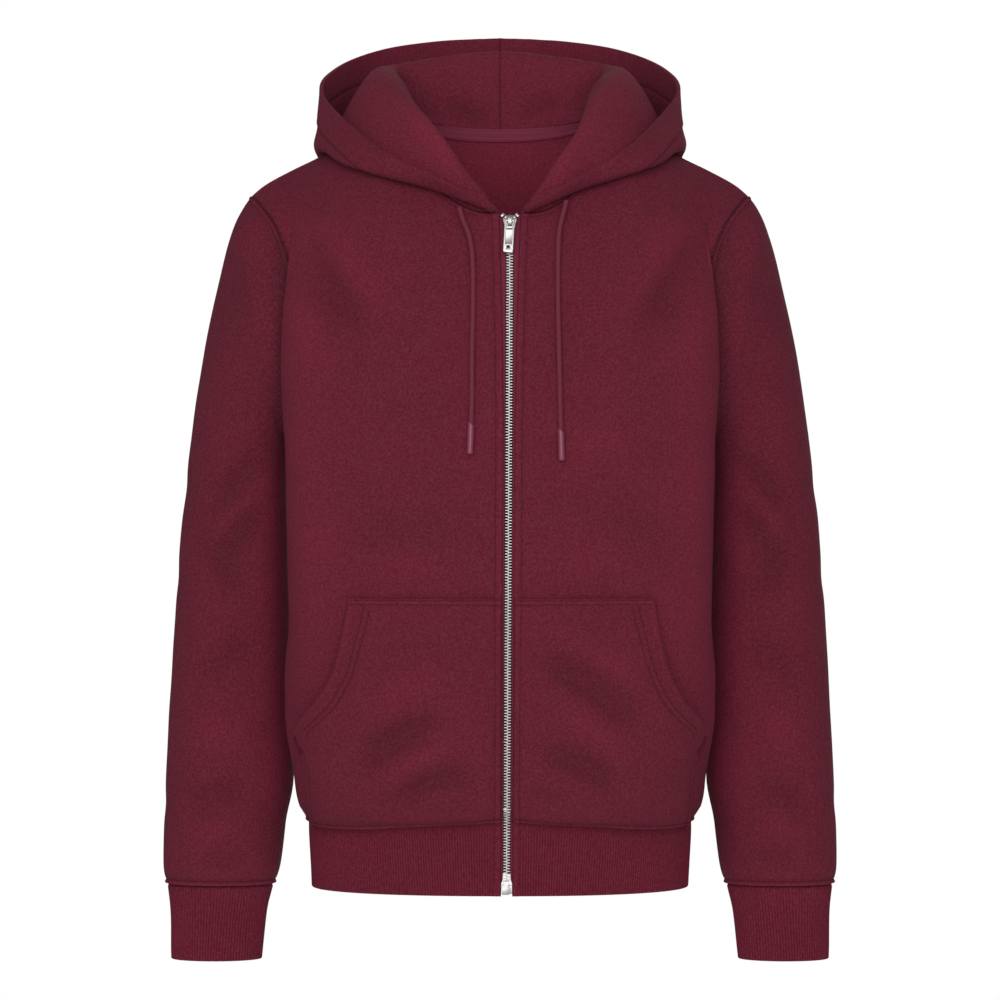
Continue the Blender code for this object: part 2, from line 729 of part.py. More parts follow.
def hood_grid(neck_seam):
    """Rows from the neck seam to the rim, columns from centre front to centre back."""
    keys = [row.along for row in HOOD]
    curves = [[Vector(row[column]) for row in HOOD] for column in (1, 2, 3)]
    ribs = []
    for column, neck in enumerate(neck_seam):
        if column <= NECK_FRONT_COLUMNS:
            along = column / NECK_FRONT_COLUMNS
        else:
            along = 1.0 + (column - NECK_FRONT_COLUMNS) / NECK_BACK_COLUMNS
        roll, trough, rim = (smooth_read(keys, curve, along) for curve in curves)
        ribs.append(hood_profile(neck, roll, trough, rim))
    return [list(row) for row in zip(*ribs)]


def hood_walls():
    """Wall of each column of the hood, which is pared down where its layers meet at the zip."""
    walls = []
    for column in range(NECK_FRONT_COLUMNS + NECK_BACK_COLUMNS + 1):
        share = ease(column / HOOD_PARED_COLUMNS)
        walls.append(blend(HOOD_PARED, FLEECE, share))
    return walls


# ---------------------------------------------------------------- rib-knit bands

def outward(ring, index, closed):
    """Level direction out of a ring at one of its points."""
    last = len(ring) - 1
    before = ring[index - 1] if index > 0 else (ring[-1] if closed else ring[0])
    after = ring[index + 1] if index < last else (ring[0] if closed else ring[last])
    run = after - before
    return Vector((run.y, -run.x, 0.0)).normalized()


def ribbed_band(name, rings, closed, steps, sense, material):
    """A rib-knit band: its ribs are raised in the outer points over a plain inside.

    sense is +1 where the rings run so that outward() points out, and -1 where it points in.
    """
    outer, inner = [], []
    for ring in rings:
        spans = len(ring) if closed else len(ring) - 1
        ways = [outward(ring, index, closed) * sense for index in range(len(ring))]
        fine = []
        for column in range(spans):
            following = (column + 1) % len(ring)
            for step in range(steps):
                share = step / steps
                point = ring[column].lerp(ring[following], share)
                way = ways[column].lerp(ways[following], share)
                height = 0.5 if step % 2 else -0.5
                fine.append(point + way * (height * RIB_RELIEF))
        if not closed:
            fine.append(ring[-1] - ways[-1] * (0.5 * RIB_RELIEF))
        outer.append(fine)
        inner.append([p - way * RIB_WALL for p, way in zip(ring, ways)])
    return new_object(name, wall_mesh(outer, inner, closed, steps), material)


# ---------------------------------------------------------------- scene

def clear_scene():
    for obj in list(bpy.data.objects):
        bpy.data.objects.remove(obj, do_unlink=True)
    for collection in list(bpy.data.collections):
        bpy.data.collections.remove(collection)
    collection = bpy.data.collections.new(COLLECTION)
    bpy.context.scene.collection.children.link(collection)


def make_material(name, colour, roughness, metallic=0.0):
    material = bpy.data.materials.new(name)
    material.use_nodes = True
    shader = material.node_tree.nodes["Principled BSDF"]
    shader.inputs["Base Color"].default_value = (*colour, 1.0)
    shader.inputs["Roughness"].default_value = roughness
    shader.inputs["Metallic"].default_value = metallic
    material.diffuse_color = (*colour, 1.0)
    return material


def cloth_material(name, kind):
    return make_material(name + "_cloth", COLOURS[kind], 0.9)


def build_cloth():
    """All pieces of fleece, with the rings that the bands hang from."""
    front, back_half, seams = body_grids()
    fronts = {+1: placed(front, +1), -1: placed(front, -1)}
    backs = {+1: placed(back_half, +1), -1: placed(back_half, -1)}
    back = [list(reversed(left)) + right[1:] for left, right in zip(backs[+1], backs[-1])]
    hood = hood_grid(seams["neck"])
    sleeve = [seams["armhole"]] + [sleeve_ring(row) for row in SLEEVE]
    panels = {
        "front_left": Panel("front_left", fronts[+1]),
        "front_right": Panel("front_right", fronts[-1], turned=True),
        "back": Panel("back", back),
    }
    for word, side in (("left", +1), ("right", -1)):
        turned = side < 0
        panels["sleeve_" + word] = Panel("sleeve_" + word, placed(sleeve, side), turned, True)
        panels["hood_" + word] = Panel("hood_" + word, placed(hood, side), turned,
                                       walls=hood_walls())
    set_normals(panels.values())
    for name, panel in panels.items():
        set_walls(panel)
        mesh = wall_mesh(panel.outer, panel.inner, panel.closed)
        new_object(name, mesh, cloth_material(name, "fleece"))
    return panels


def inset_ring(ring, closed, sense, drop):
    """A seam ring moved in and down to where the band under it begins."""
    points = []
    for index, point in enumerate(ring):
        way = outward(ring, index, closed) * sense
        points.append(point - way * BAND_INSET - Vector((0.0, 0.0, drop)))
    return points


def build_waistband(panels):
    """Open band from the left edge of the zip round the back to its right edge."""
    top = (list(panels["front_left"].grid[0]) + list(panels["back"].grid[0])[1:-1]
           + list(reversed(panels["front_right"].grid[0])))
    front, back = section_columns(WAISTBAND_EDGE)
    half = front + back[1:]
    left = placed([half], +1)[0]
    right = placed([half[:-1]], -1)[0]
    rings = [inset_ring(top, False, +1, SEAM), left + list(reversed(right))]
    ribbed_band("waistband", rings, False, BODY_STEPS_PER_COLUMN, +1,
                cloth_material("waistband", "rib"))
    return rings


def build_cuffs(panels):
    for word, side in (("left", +1), ("right", -1)):
        seam = panels["sleeve_" + word].grid[-1]
        rings = [inset_ring(seam, True, -side, SEAM)]
        for row in CUFF:
            rings += placed([sleeve_ring(row)], side)
        ribbed_band("cuff_" + word, rings, True, CUFF_STEPS_PER_COLUMN, -side,
                    cloth_material("cuff_" + word, "rib"))


# ---------------------------------------------------------------- tape, pockets

def build_neck_tape(panels):
    """Tape over the seam of hood and back, on the inside of the back."""
    back = panels["back"]
    face, under = [[], []], [[], []]
    for column, top in enumerate(back.inner[-1]):
        if abs(top.x) > NECK_TAPE_HALF:
            continue
        down = back.inner[-2][column] - top
        for row, drop in enumerate((NECK_TAPE_DROP, NECK_TAPE_DROP + NECK_TAPE_DEPTH)):
            share = drop / down.length
            normal = back.normals[-1][column].lerp(back.normals[-2][column], share)
            point = top + down * share
            face[row].append(point - normal * NECK_TAPE_GAP)
            under[row].append(point - normal * (NECK_TAPE_GAP + TAPE))
    new_object("neck_tape", wall_mesh(face, under, False), cloth_material("neck_tape", "tape"))


def pocket_grids(half, front):
    """A patch over the front, sewn down at the zip, the top, the bottom and the lower side.

    half is the front as it was modelled, before the zip drew it sideways: widths are along it.
    """
    last = len(half[0]) - 1
    outer, inner = [], []
    for place in POCKET:
        line = [between(half, place.row, column) for column in range(last + 1)]
        girth = lengths_along(line)
        faces, unders = [], []
        for step in range(POCKET_COLUMNS + 1):
            share = 1.0 - (1.0 - step / POCKET_COLUMNS) ** POCKET_CROWDING
            width = blend(POCKET_MARGIN, place.width, share)
            index = max(0, min(last - 1, bisect_right(girth, width) - 1))
            column = index + (width - girth[index]) / (girth[index + 1] - girth[index])
            puff = place.middle * math.sin(math.pi * share) ** POCKET_PUFF + place.edge * ease(share)
            normal = between(front.normals, place.row, column).normalized()
            base = between(front.grid, place.row, column)
            faces.append(base + normal * (POCKET_GAP + puff + FLEECE))
            unders.append(base + normal * (POCKET_GAP + puff))
        outer.append(faces)
        inner.append(unders)
    return outer, inner


def build_pockets(panels):
    half = body_grids()[0]
    for word in ("left", "right"):
        name = "pocket_" + word
        outer, inner = pocket_grids(half, panels["front_" + word])
        new_object(name, wall_mesh(outer, inner, False), cloth_material(name, "fleece"))


# ---------------------------------------------------------------- zip

ZipPlace = namedtuple("ZipPlace", "middle across up out")


def zip_path(panels, band_rings):
    """Middle of the tapes from the bottom of the waistband up to the neck."""
    left, right = panels["front_left"], panels["front_right"]
    path = []
    for ring in reversed(band_rings):
        behind = RIB_WALL + TAPE_GAP + TAPE / 2
        path.append((ring[0] + ring[-1]) / 2 + Vector((0.0, behind, 0.0)))
    for row in range(len(left.grid)):
        middle = (left.grid[row][0] + right.grid[row][0]) / 2
        read = min(row, len(left.grid) - 2)
        normal = left.normals[read][1] + right.normals[read][1]
        normal.x = 0.0
        behind = FLEECE + TAPE_GAP + TAPE / 2 + (BAND_INSET if row == 0 else 0.0)
        path.append(middle - normal.normalized() * behind)
    return path


def zip_place(path, z):
    """A place of the zip at a height, with its directions across, up and out."""
    heights = [point.z for point in path]
    index = max(0, min(len(path) - 2, bisect_right(heights, z) - 1))
    low, high = path[index], path[index + 1]
    middle = low + (high - low) * ((z - low.z) / (high.z - low.z))
    up = (high - low).normalized()
    out = Vector((1.0, 0.0, 0.0)).cross(up).normalized()
    return ZipPlace(middle, up.cross(out), up, out)


def zip_heights(path, low, high):
    """Heights of the strips' rows: the path's own between two limits, and the limits."""
    return [low] + [point.z for point in path if low + 1.0 < point.z < high - 1.0] + [high]


def in_zip_frame(place, across, up, out):
    return place.middle + place.across * across + place.up * up + place.out * out


def strip(path, heights, edges, half_depth):
    """A flat strip that follows the zip: edges gives its two sides at each height."""
    faces = [[], []]
    for z, pair in zip(heights, edges):
        middle = zip_place(path, z).middle
        for face, out in zip(faces, (-half_depth, half_depth)):
            face.append([middle + Vector((across, out, 0.0)) for across in pair])
    return wall_mesh(*faces, False)


def prism(outline, low, high, turned=False):
    """A closed outline drawn out from low to high.

    The outline is in (across, up) and is drawn out along out; turned, it is in (up, out) and
    is drawn out along across.
    """
    bm = bmesh.new()
    for first, second in outline:
        bm.verts.new((low, first, second) if turned else (first, second, low))
    face = bm.faces.new(list(bm.verts))
    drawn = bmesh.ops.extrude_face_region(bm, geom=[face])
    moved = [item for item in drawn["geom"] if isinstance(item, bmesh.types.BMVert)]
    way = Vector((high - low, 0.0, 0.0)) if turned else Vector((0.0, 0.0, high - low))
    bmesh.ops.translate(bm, verts=moved, vec=way)
    bmesh.ops.recalc_face_normals(bm, faces=bm.faces)
    return bm


def block(across, up, out):
    """A block between pairs of limits."""
    outline = [(across[0], up[0]), (across[1], up[0]), (across[1], up[1]), (across[0], up[1])]
    return prism(outline, *out)


def disc_outline(radius, middle, sides):
    turns = [2 * math.pi * side / sides for side in range(sides)]
    return [(radius * math.cos(t) + middle[0], radius * math.sin(t) + middle[1]) for t in turns]


def helper_object(bm):
    mesh = bpy.data.meshes.new("helper")
    bm.to_mesh(mesh)
    bm.free()
    obj = bpy.data.objects.new("helper", mesh)
    bpy.context.scene.collection.objects.link(obj)
    return obj


def carved(added, cut=()):
    """Unite the bodies, cut others away, and give the result as one bmesh."""
    body = helper_object(added[0])
    tools = [(helper_object(bm), "UNION") for bm in added[1:]]
    tools += [(helper_object(bm), "DIFFERENCE") for bm in cut]
    for tool, operation in tools:
        modifier = body.modifiers.new(operation.lower(), "BOOLEAN")
        modifier.operation = operation
        modifier.solver = "EXACT"
        modifier.object = tool
    bpy.context.view_layer.update()
    graph = bpy.context.evaluated_depsgraph_get()
    mesh = bpy.data.meshes.new_from_object(body.evaluated_get(graph))
    result = bmesh.new()
    result.from_mesh(mesh)
    bpy.data.meshes.remove(mesh)
    for obj in [body] + [tool for tool, _ in tools]:
        bpy.data.objects.remove(obj, do_unlink=True)
    bmesh.ops.remove_doubles(result, verts=result.verts, dist=0.001)
    bmesh.ops.dissolve_limit(result, angle_limit=math.radians(1), verts=result.verts,
                             edges=result.edges)
    bmesh.ops.triangulate(result, faces=result.faces)
    return result


def put_in_place(bm, place):
    matrix = Matrix((place.across, place.up, place.out)).transposed().to_4x4()
    matrix.translation = place.middle
    bmesh.ops.transform(bm, matrix=matrix, verts=bm.verts)


def slider_mesh():
    inner, outer, lip = SLIDER_FLANGE
    half, low, high = SLIDER_POST
    front, back = SLIDER_FRONT_OUT, SLIDER_BACK_OUT
    narrow = [(x * SLIDER_NARROWING, up) for x, up in SLIDER_FRONT]
    parts = [prism(SLIDER_FRONT, *front), prism(narrow, *back)]
    parts.append(block((-half, half), (low, high), (back[1] - FUSED, front[0] + FUSED)))
    for side in (1, -1):
        across = sorted((side * inner, side * outer))
        parts.append(block(across, SLIDER_FLANGE_ENDS, (lip, front[0] + FUSED)))
    parts.append(prism(BRIDGE, -BRIDGE_HALF_WIDTH, BRIDGE_HALF_WIDTH, turned=True))
    return carved(parts)


def tab_mesh():
    """The pull tab about its own axis: across, up and out as for the slider."""
    half, depth, length = TAB_HALF_WIDTH, TAB_HALF_DEPTH, TAB_LENGTH
    corner = TAB_CORNER
    outline = [(-half, TAB_TOP), (-half, corner - length), (corner - half, -length),
               (half - corner, -length), (half, corner - length), (half, TAB_TOP)]
    window, low = TAB_WINDOW
    plate = prism(outline, -depth, depth)
    bar = prism(disc_outline(TAB_BAR_RADIUS, (0.0, 0.0), TAB_BAR_SIDES), -half, half, turned=True)
    radius, height = TAB_HOLE
    hole = prism(disc_outline(radius, (0.0, height), TAB_HOLE_SIDES), -2 * depth, 2 * depth)
    cut = block((-window, window), (low, -TAB_BAR_RADIUS), (-2 * depth, 2 * depth))
    cap = block((-window, window), (-TAB_BAR_RADIUS, 1.0), (-2 * depth, 2 * depth))
    return carved([carved([plate], [cut, cap, hole]), bar])


def build_zip(panels, band_rings):
    path = zip_path(panels, band_rings)
    tape, nickel = COLOURS["tape"], COLOURS["nickel"]
    beside_box = [BOX_BOTTOM, BOX_TOP + 2 * SEAM]
    heights = beside_box + zip_heights(path, BOX_TOP + 4 * SEAM, TAPE_TOP)
    for word, side in (("left", 1), ("right", -1)):
        name = "zip_tape_" + word
        inner = [BOX_HALF_WIDTH + SEAM] * 2 + [TAPE_INNER] * (len(heights) - 2)
        edges = [(side * near, side * TAPE_OUTER) for near in inner]
        new_object(name, strip(path, heights, edges, TAPE / 2),
                   make_material(name + "_cloth", tape, 0.85))
    slider = zip_place(path, SLIDER_Z)
    heights = zip_heights(path, BOX_TOP + SEAM, slider.middle.z - CHAIN_DROP)
    edges = [(-CHAIN_HALF_WIDTH, CHAIN_HALF_WIDTH)] * len(heights)
    metal = make_material("zip_chain_metal", nickel, 0.3, 1.0)
    new_object("zip_chain", strip(path, heights, edges, CHAIN_HALF_DEPTH), metal)

    bm = slider_mesh()
    put_in_place(bm, slider)
    new_object("zip_slider", bm, make_material("zip_slider_metal", nickel, 0.25, 1.0))
    bm = tab_mesh()
    swing = Matrix.Rotation(TAB_SWING, 4, "X") @ Matrix.Rotation(-TAB_LEAN, 4, "Z")
    bmesh.ops.transform(bm, matrix=swing, verts=bm.verts)
    axis = ZipPlace(in_zip_frame(slider, 0.0, 0.0, TAB_AXIS_OUT), *slider[1:])
    put_in_place(bm, axis)
    new_object("zip_pull_tab", bm, make_material("zip_pull_tab_metal", nickel, 0.25, 1.0))

    width, height, depth = STOP_SIZE
    for word, side in (("left", 1), ("right", -1)):
        across = sorted((side * (STOP_ACROSS - width / 2), side * (STOP_ACROSS + width / 2)))
        bm = block(across, (-height / 2, height / 2), (TAPE / 2 + SEAM, TAPE / 2 + SEAM + depth))
        put_in_place(bm, zip_place(path, STOP_Z))
        name = "zip_top_stop_" + word
        new_object(name, bm, make_material(name + "_metal", nickel, 0.3, 1.0))
    half = (BOX_TOP - BOX_BOTTOM) / 2
    bm = block((-BOX_HALF_WIDTH, BOX_HALF_WIDTH), (-half, half), (-BOX_HALF_DEPTH, BOX_HALF_DEPTH))
    put_in_place(bm, zip_place(path, (BOX_TOP + BOX_BOTTOM) / 2))
    new_object("zip_bottom_box", bm, make_material("zip_bottom_box_metal", nickel, 0.3, 1.0))


# ---------------------------------------------------------------- drawcords

def build_cord(word, route):
    """A cord along its route, and the tip on its lower end."""
    path = smooth_path(route)
    points = even_points(path, CORD_POINTS - 1)
    curve = bpy.data.curves.new("drawcord_" + word, "CURVE")
    curve.dimensions = "3D"
    curve.bevel_depth = CORD_RADIUS * MM
    curve.bevel_resolution = 2
    curve.use_fill_caps = True
    spline = curve.splines.new("POLY")
    spline.points.add(len(points) - 1)
    for place, point in zip(spline.points, points):
        place.co = (*(point * MM), 1.0)
    helper = bpy.data.objects.new("helper", curve)
    bpy.context.scene.collection.objects.link(helper)
    graph = bpy.context.evaluated_depsgraph_get()
    mesh = bpy.data.meshes.new_from_object(helper.evaluated_get(graph))
    bm = bmesh.new()
    bm.from_mesh(mesh)
    bpy.data.objects.remove(helper, do_unlink=True)
    bpy.data.curves.remove(curve)
    bpy.data.meshes.remove(mesh)
    bmesh.ops.scale(bm, vec=(1 / MM, 1 / MM, 1 / MM), verts=bm.verts)
    bmesh.ops.remove_doubles(bm, verts=bm.verts, dist=0.01)
    name = "drawcord_" + word
    new_object(name, bm, make_material(name + "_braid", COLOURS["cord"], 0.85))

    start = points[-1]
    way = (points[-1] - points[-2]).normalized()
    tip = bmesh.new()
    side = way.cross(Vector((0.0, 1.0, 0.0))).normalized()
    fore = side.cross(way)
    loops = []
    for length, share in TIP_RINGS:
        middle = start + way * (SEAM + length)
        loop = []
        for x, y in disc_outline(TIP_RADIUS * share, (0.0, 0.0), TIP_SIDES):
            loop.append(tip.verts.new(middle + side * x + fore * y))
        loops.append(loop)
    for low, high in zip(loops, loops[1:]):
        for quad in zip(low, low[1:] + low[:1], high[1:] + high[:1], high):
            tip.faces.new(quad)
    tip.faces.new(loops[0])
    tip.faces.new(loops[-1])
    name = "cord_tip_" + word
    new_object(name, tip, make_material(name + "_dip", COLOURS["tip"], 0.45))


def main():
    clear_scene()
    panels = build_cloth()
    band_rings = build_waistband(panels)
    build_cuffs(panels)
    build_neck_tape(panels)
    build_pockets(panels)
    build_zip(panels, band_rings)
    build_cord("left", CORD_LEFT)
    build_cord("right", CORD_RIGHT)


main()
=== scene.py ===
"""The looks of a zip-up hoodie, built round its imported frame.

Every piece of cloth is a thin shell on the form of its solid, with creases, sewn edges and
stitches.  Sizes are in millimetres and turn to metres where a mesh is made.  +Z is up, the front
faces -Y and the wearer's left is +X.
"""

import json
import math
from bisect import bisect_right
from collections import namedtuple
from functools import lru_cache

import bmesh
import bpy
import numpy as np
from mathutils import Matrix, Vector


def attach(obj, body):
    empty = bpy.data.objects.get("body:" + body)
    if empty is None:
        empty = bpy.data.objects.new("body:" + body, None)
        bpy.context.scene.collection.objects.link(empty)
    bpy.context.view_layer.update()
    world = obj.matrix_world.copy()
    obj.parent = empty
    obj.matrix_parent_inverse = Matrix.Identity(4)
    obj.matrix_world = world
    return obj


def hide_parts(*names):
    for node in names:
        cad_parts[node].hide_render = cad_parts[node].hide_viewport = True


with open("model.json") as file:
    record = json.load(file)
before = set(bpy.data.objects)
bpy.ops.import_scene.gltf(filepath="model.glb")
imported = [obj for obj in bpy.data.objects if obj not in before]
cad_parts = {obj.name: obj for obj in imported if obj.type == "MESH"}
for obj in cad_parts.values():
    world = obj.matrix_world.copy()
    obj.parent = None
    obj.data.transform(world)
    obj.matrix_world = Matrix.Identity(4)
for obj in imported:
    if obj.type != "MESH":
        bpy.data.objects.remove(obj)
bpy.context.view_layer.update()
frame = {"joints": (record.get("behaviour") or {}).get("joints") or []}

bl_info = {
    "name": "Zip-up hoodie",
    "version": (1, 0, 0),
    "blender": (4, 5, 0),
    "location": "View3D > Sidebar > Hoodie",
    "description": "Models the cloth, stitches, zip and drawcords of a zip-up hoodie",
    "category": "Object",
}

MM = 0.001
SIDES = (("left", 1), ("right", -1))


def linear(code):
    """An sRGB hex colour as linear values."""
    parts = [int(code[at:at + 2], 16) / 255 for at in (1, 3, 5)]
    return tuple(c / 12.92 if c <= 0.04045 else ((c + 0.055) / 1.055) ** 2.4 for c in parts)


# ------------ sizes of the cut

FINE = 5  # steps of a surface for each column or row of its cut
NECK_FRONT_COLUMNS = 8 * FINE
NECK_BACK_COLUMNS = 9 * FINE
SHOULDER_COLUMNS = 7 * FINE
ARMHOLE_ROWS = 11 * FINE
FRONT_COLUMNS = NECK_FRONT_COLUMNS + SHOULDER_COLUMNS
BACK_COLUMNS = NECK_BACK_COLUMNS + SHOULDER_COLUMNS
SECTION_STEPS = 240

FLEECE = 2.2
RIB_WALL = 2.8
SEAM = 0.3  # between pieces that are sewn together
BAND_INSET = 0.8  # how far the bands lie inside the cloth above them

# Torso: level sections.  Depths are the y of centre front, centre back and the widest point.
TORSO_FIELDS = "z half_width front back widest front_power back_power arm_room"
TorsoRow = namedtuple("TorsoRow", TORSO_FIELDS)
TORSO = (
    TorsoRow(-636, 174, -113, 107, -10, 2.3, 2.2, 0),
    TorsoRow(-622, 181.5, -121, 113, -22, 2.3, 2.1, 1),
    TorsoRow(-600, 185, -127, 117, -32, 2.3, 2, 2),
    TorsoRow(-550, 187, -132, 121, -42, 2.35, 1.95, 4),
    TorsoRow(-480, 188.5, -136, 125, -50, 2.4, 1.95, 6),
    TorsoRow(-400, 190.5, -139, 129, -56, 2.4, 1.95, 7),
    TorsoRow(-290, 192.5, -140, 134, -62, 2.4, 1.95, 7),
)
ARM_ROOM_Y = 20.0
ARM_ROOM_REACH = 40.0
TORSO_ROWS = (-622.0, -600.0, -560.0, -500.0, -430.0, -360.0, -290.0)
SIDE_SEAM = 0.55  # share of the half girth from centre front to the side seam
WAISTBAND_EDGE = TorsoRow(-696, 170.6, -106.5, 104, -4, 2.3, 2.2, 0)

HemRow = namedtuple("HemRow", "along z")
HEM = (
    HemRow(0, -627),
    HemRow(0.25, -629),
    HemRow(0.5, -635.5),
    HemRow(0.8, -636),
    HemRow(1, -633.5),
    HemRow(1.5, -637),
    HemRow(2, -636),
)

ZIP_EDGE = 5.0  # cloth edge to the middle of the zip
ZIP_TOP_EDGE = 9.4  # the same at the neck
ZIP_SHIFT_TOP = 8.8  # the zip stands off the middle of the body
ZIP_SHIFT_BOTTOM = 5.8
ZIP_SHIFT_REACH = 170.0  # half width and depth over which the shift fades
ZIP_SHIFT_DEPTH = 60.0
ZIP_TOP_Z = -92.0
ZIP_BOTTOM_Z = -692.0

SeamPoint = namedtuple("SeamPoint", "x y z")
NECK_FRONT = (
    SeamPoint(ZIP_TOP_EDGE, -97, ZIP_TOP_Z),
    SeamPoint(34, -96, -88.5),
    SeamPoint(60, -86, -71),
    SeamPoint(81, -58, -38),
    SeamPoint(92, -25, -8),
    SeamPoint(94, 0, 5),
)
NECK_BACK = (
    SeamPoint(94, 0, 5),
    SeamPoint(85, 38, 4),
    SeamPoint(60, 66, 1),
    SeamPoint(30, 80, -1),
    SeamPoint(0, 85, -1.5),
)
SHOULDER = (
    SeamPoint(94, 0, 5),
    SeamPoint(130, 0.5, -15.5),
    SeamPoint(166, 2, -34.5),
    SeamPoint(189.5, 3, -45.5),
    SeamPoint(214, 4, -58.5),
    SeamPoint(226, 5, -68),
)
FRONT_ARMHOLE = (
    SeamPoint(181, -40, -262),
    SeamPoint(182.5, -52, -215),
    SeamPoint(184, -54, -165),
    SeamPoint(190, -48, -128),
    SeamPoint(201, -37, -101),
    SeamPoint(214, -18, -82),
)
BACK_ARMHOLE = (
    SeamPoint(181, 36, -264),
    SeamPoint(182, 58, -215),
    SeamPoint(186, 63, -165),
    SeamPoint(193, 57, -128),
    SeamPoint(204, 43, -99),
    SeamPoint(217, 24, -81),
)
FRONT_FOLD = 8.0  # the front stands out beyond its armhole in a soft fold
FOLD_MIDDLE = 0.83  # the fold's middle and half width, as shares of the way to the armhole
FOLD_REACH = 0.17
FOLD_TOP = 1.15  # how soon it ends and how full it is on its way up
FOLD_SWELL = 0.8
YOKE_LAG = (1.5, 1.7)  # how late the yoke turns inwards and backwards on its way up
ROUND_FROM = 0.55  # share of the way to the armhole at which it is fully round
ARMHOLE_PULL = 1.9
FRONT_FULLNESS = (0.0, 0.85)  # roundness of the yoke at the middle and at the armhole
BACK_FULLNESS = (0.45, 0.85)

SleeveRow = namedtuple("SleeveRow", "outer_x outer_z inner_x inner_z middle half_depth")
SLEEVE = (
    SleeveRow(237, -85, 191, -301, 7, 56),
    SleeveRow(248, -113, 193, -315, 12, 55),
    SleeveRow(257.5, -150, 193, -334, 17, 54),
    SleeveRow(267, -191, 192.5, -357, 20, 54),
    SleeveRow(275, -236, 192, -384, 23, 54),
    SleeveRow(283, -290, 191.5, -420, 26, 54),
    SleeveRow(290, -350, 191, -464, 28, 53),
    SleeveRow(295.5, -414, 191, -512, 27, 52),
    SleeveRow(299.5, -480, 192, -562, 25, 51),
    SleeveRow(303, -548, 193.5, -610, 22, 50),
    SleeveRow(306, -606, 196.5, -646, 20, 48),
    SleeveRow(307.5, -655, 200, -674, 18, 45),
    SleeveRow(307.5, -682, 202.5, -686, 17, 40),
    SleeveRow(304.5, -696.5, 206.5, -696.5, 17, 34),
)
CUFF = (SleeveRow(301, -720, 213, -720, 17, 29.5), SleeveRow(300.2, -765, 218, -765, 17, 27))

SLEEVE_STEP = 3.6  # between two rings of a sleeve

# Hood: along runs from centre front (0) over the shoulder seam (1) to centre back (2)
HoodRow = namedtuple("HoodRow", "along roll trough rim")
HOOD = (
    HoodRow(0, (12, -98, -88.6), (15, -104, -91.2), (17, -109, -87.6)),
    HoodRow(0.15, (34, -87, -62), (38, -102, -82), (38, -111, -74.5)),
    HoodRow(0.33, (55, -68, -35), (68, -89, -69), (69, -102, -57.5)),
    HoodRow(0.6, (77, -38, 0.5), (103, -82, -58.5), (106, -90, -37)),
    HoodRow(0.85, (95, 5, 34), (140, -55, -46), (137, -45, -8)),
    HoodRow(1, (107, 45, 49.5), (161.5, -5, -29), (163.5, 25, 27)),
    HoodRow(1.28, (100.5, 80, 57), (153, 72, -62), (154, 85, 56)),
    HoodRow(1.55, (70, 100, 65), (118, 126, -92), (115, 148, 80.5)),
    HoodRow(1.78, (36, 108, 70.5), (64, 146, -116), (60.5, 186, 93.5)),
    HoodRow(2, (0, 110, 73.5), (0, 152, -124), (0, 200, 98)),
)
HOOD_PARED = 1.1  # wall of the hood at the zip, where four layers lie together
PARED_REACH = 30.0
HOOD_LEG_ROWS = (4 * FINE, 5 * FINE, 5 * FINE)
HOOD_LEAVE = 1.1  # fullness where it leaves the neck, over the roll, under the trough
HOOD_ROLL = 1.25
HOOD_TUCK = 0.6
HOOD_POUCH = 0.42
HOOD_STAND = np.array([0.6, 0.6, 1.2])

# Pocket: its rows in rows of the front, its width along the cloth from the zip, and how far it
# stands off the front in its middle and at its free, slanted edge
PocketRow = namedtuple("PocketRow", "row width middle edge")
POCKET = (
    PocketRow(0.12, 184, 3, 0.6),
    PocketRow(1, 176.5, 8, 1.2),
    PocketRow(2, 173.5, 12, 1.6),
    PocketRow(2.43, 175, 12.5, 1.6),
    PocketRow(2.78, 180.5, 13, 1.6),
    PocketRow(3.06, 188, 13, 1.8),
    PocketRow(3.33, 176.5, 13, 5),
    PocketRow(3.62, 158, 12, 7),
    PocketRow(4, 143, 10, 7.5),
    PocketRow(4.45, 134.7, 7, 5.5),
    PocketRow(4.97, 129.5, 0.4, 0),
)
POCKET_GAP = 0.55
POCKET_MARGIN = 0.6
POCKET_GRID = (90, 60)  # rows and columns
POCKET_SWELL = 0.6
POCKET_STEEPEST = 0.3  # slope at which its creases may start from an edge

# Neck tape, inside the back neck seam
NECK_TAPE_DEPTH = 10.6
NECK_TAPE_LAP = 2.0  # how far it reaches up over the seam
NECK_TAPE_ROWS = 8
NECK_TAPE_HALF = 76.0
NECK_TAPE_GAP = 0.6
TAPE = 1.0


# ------------ curves and sections

def blend(low, high, share):
    return low + (high - low) * share


def ease(share):
    share = np.clip(share, 0.0, 1.0)
    return share * share * (3.0 - 2.0 * share)


def cubic(start, leave, end, arrive, share):
    """A place on the way from start to end, which leaves and arrives with given pulls."""
    cube, square = share ** 3, share ** 2
    return (start * (2 * cube - 3 * square + 1) + leave * (cube - 2 * square + share)
            + end * (3 * square - 2 * cube) + arrive * (cube - square))


def smooth_read(keys, values, key):
    """Read a smooth curve through rising keys and their values, which may be arrays."""
    last = len(keys) - 1
    index = max(0, min(last - 1, bisect_right(keys, key) - 1))
    span = keys[index + 1] - keys[index]
    share = min(max((key - keys[index]) / span, 0.0), 1.0)

    def slope(at):
        low, high = max(0, at - 1), min(last, at + 1)
        return (values[high] - values[low]) / (keys[high] - keys[low])

    return cubic(values[index], slope(index) * span, values[index + 1],
                 slope(index + 1) * span, share)


def unit(vectors):
    """Vectors brought to a length of one."""
    return vectors / np.linalg.norm(vectors, axis=-1, keepdims=True)


def lengths_along(path):
    steps = np.linalg.norm(np.diff(path, axis=0), axis=-1)
    return np.concatenate([np.zeros((1,) + steps.shape[1:]), np.cumsum(steps, axis=0)])


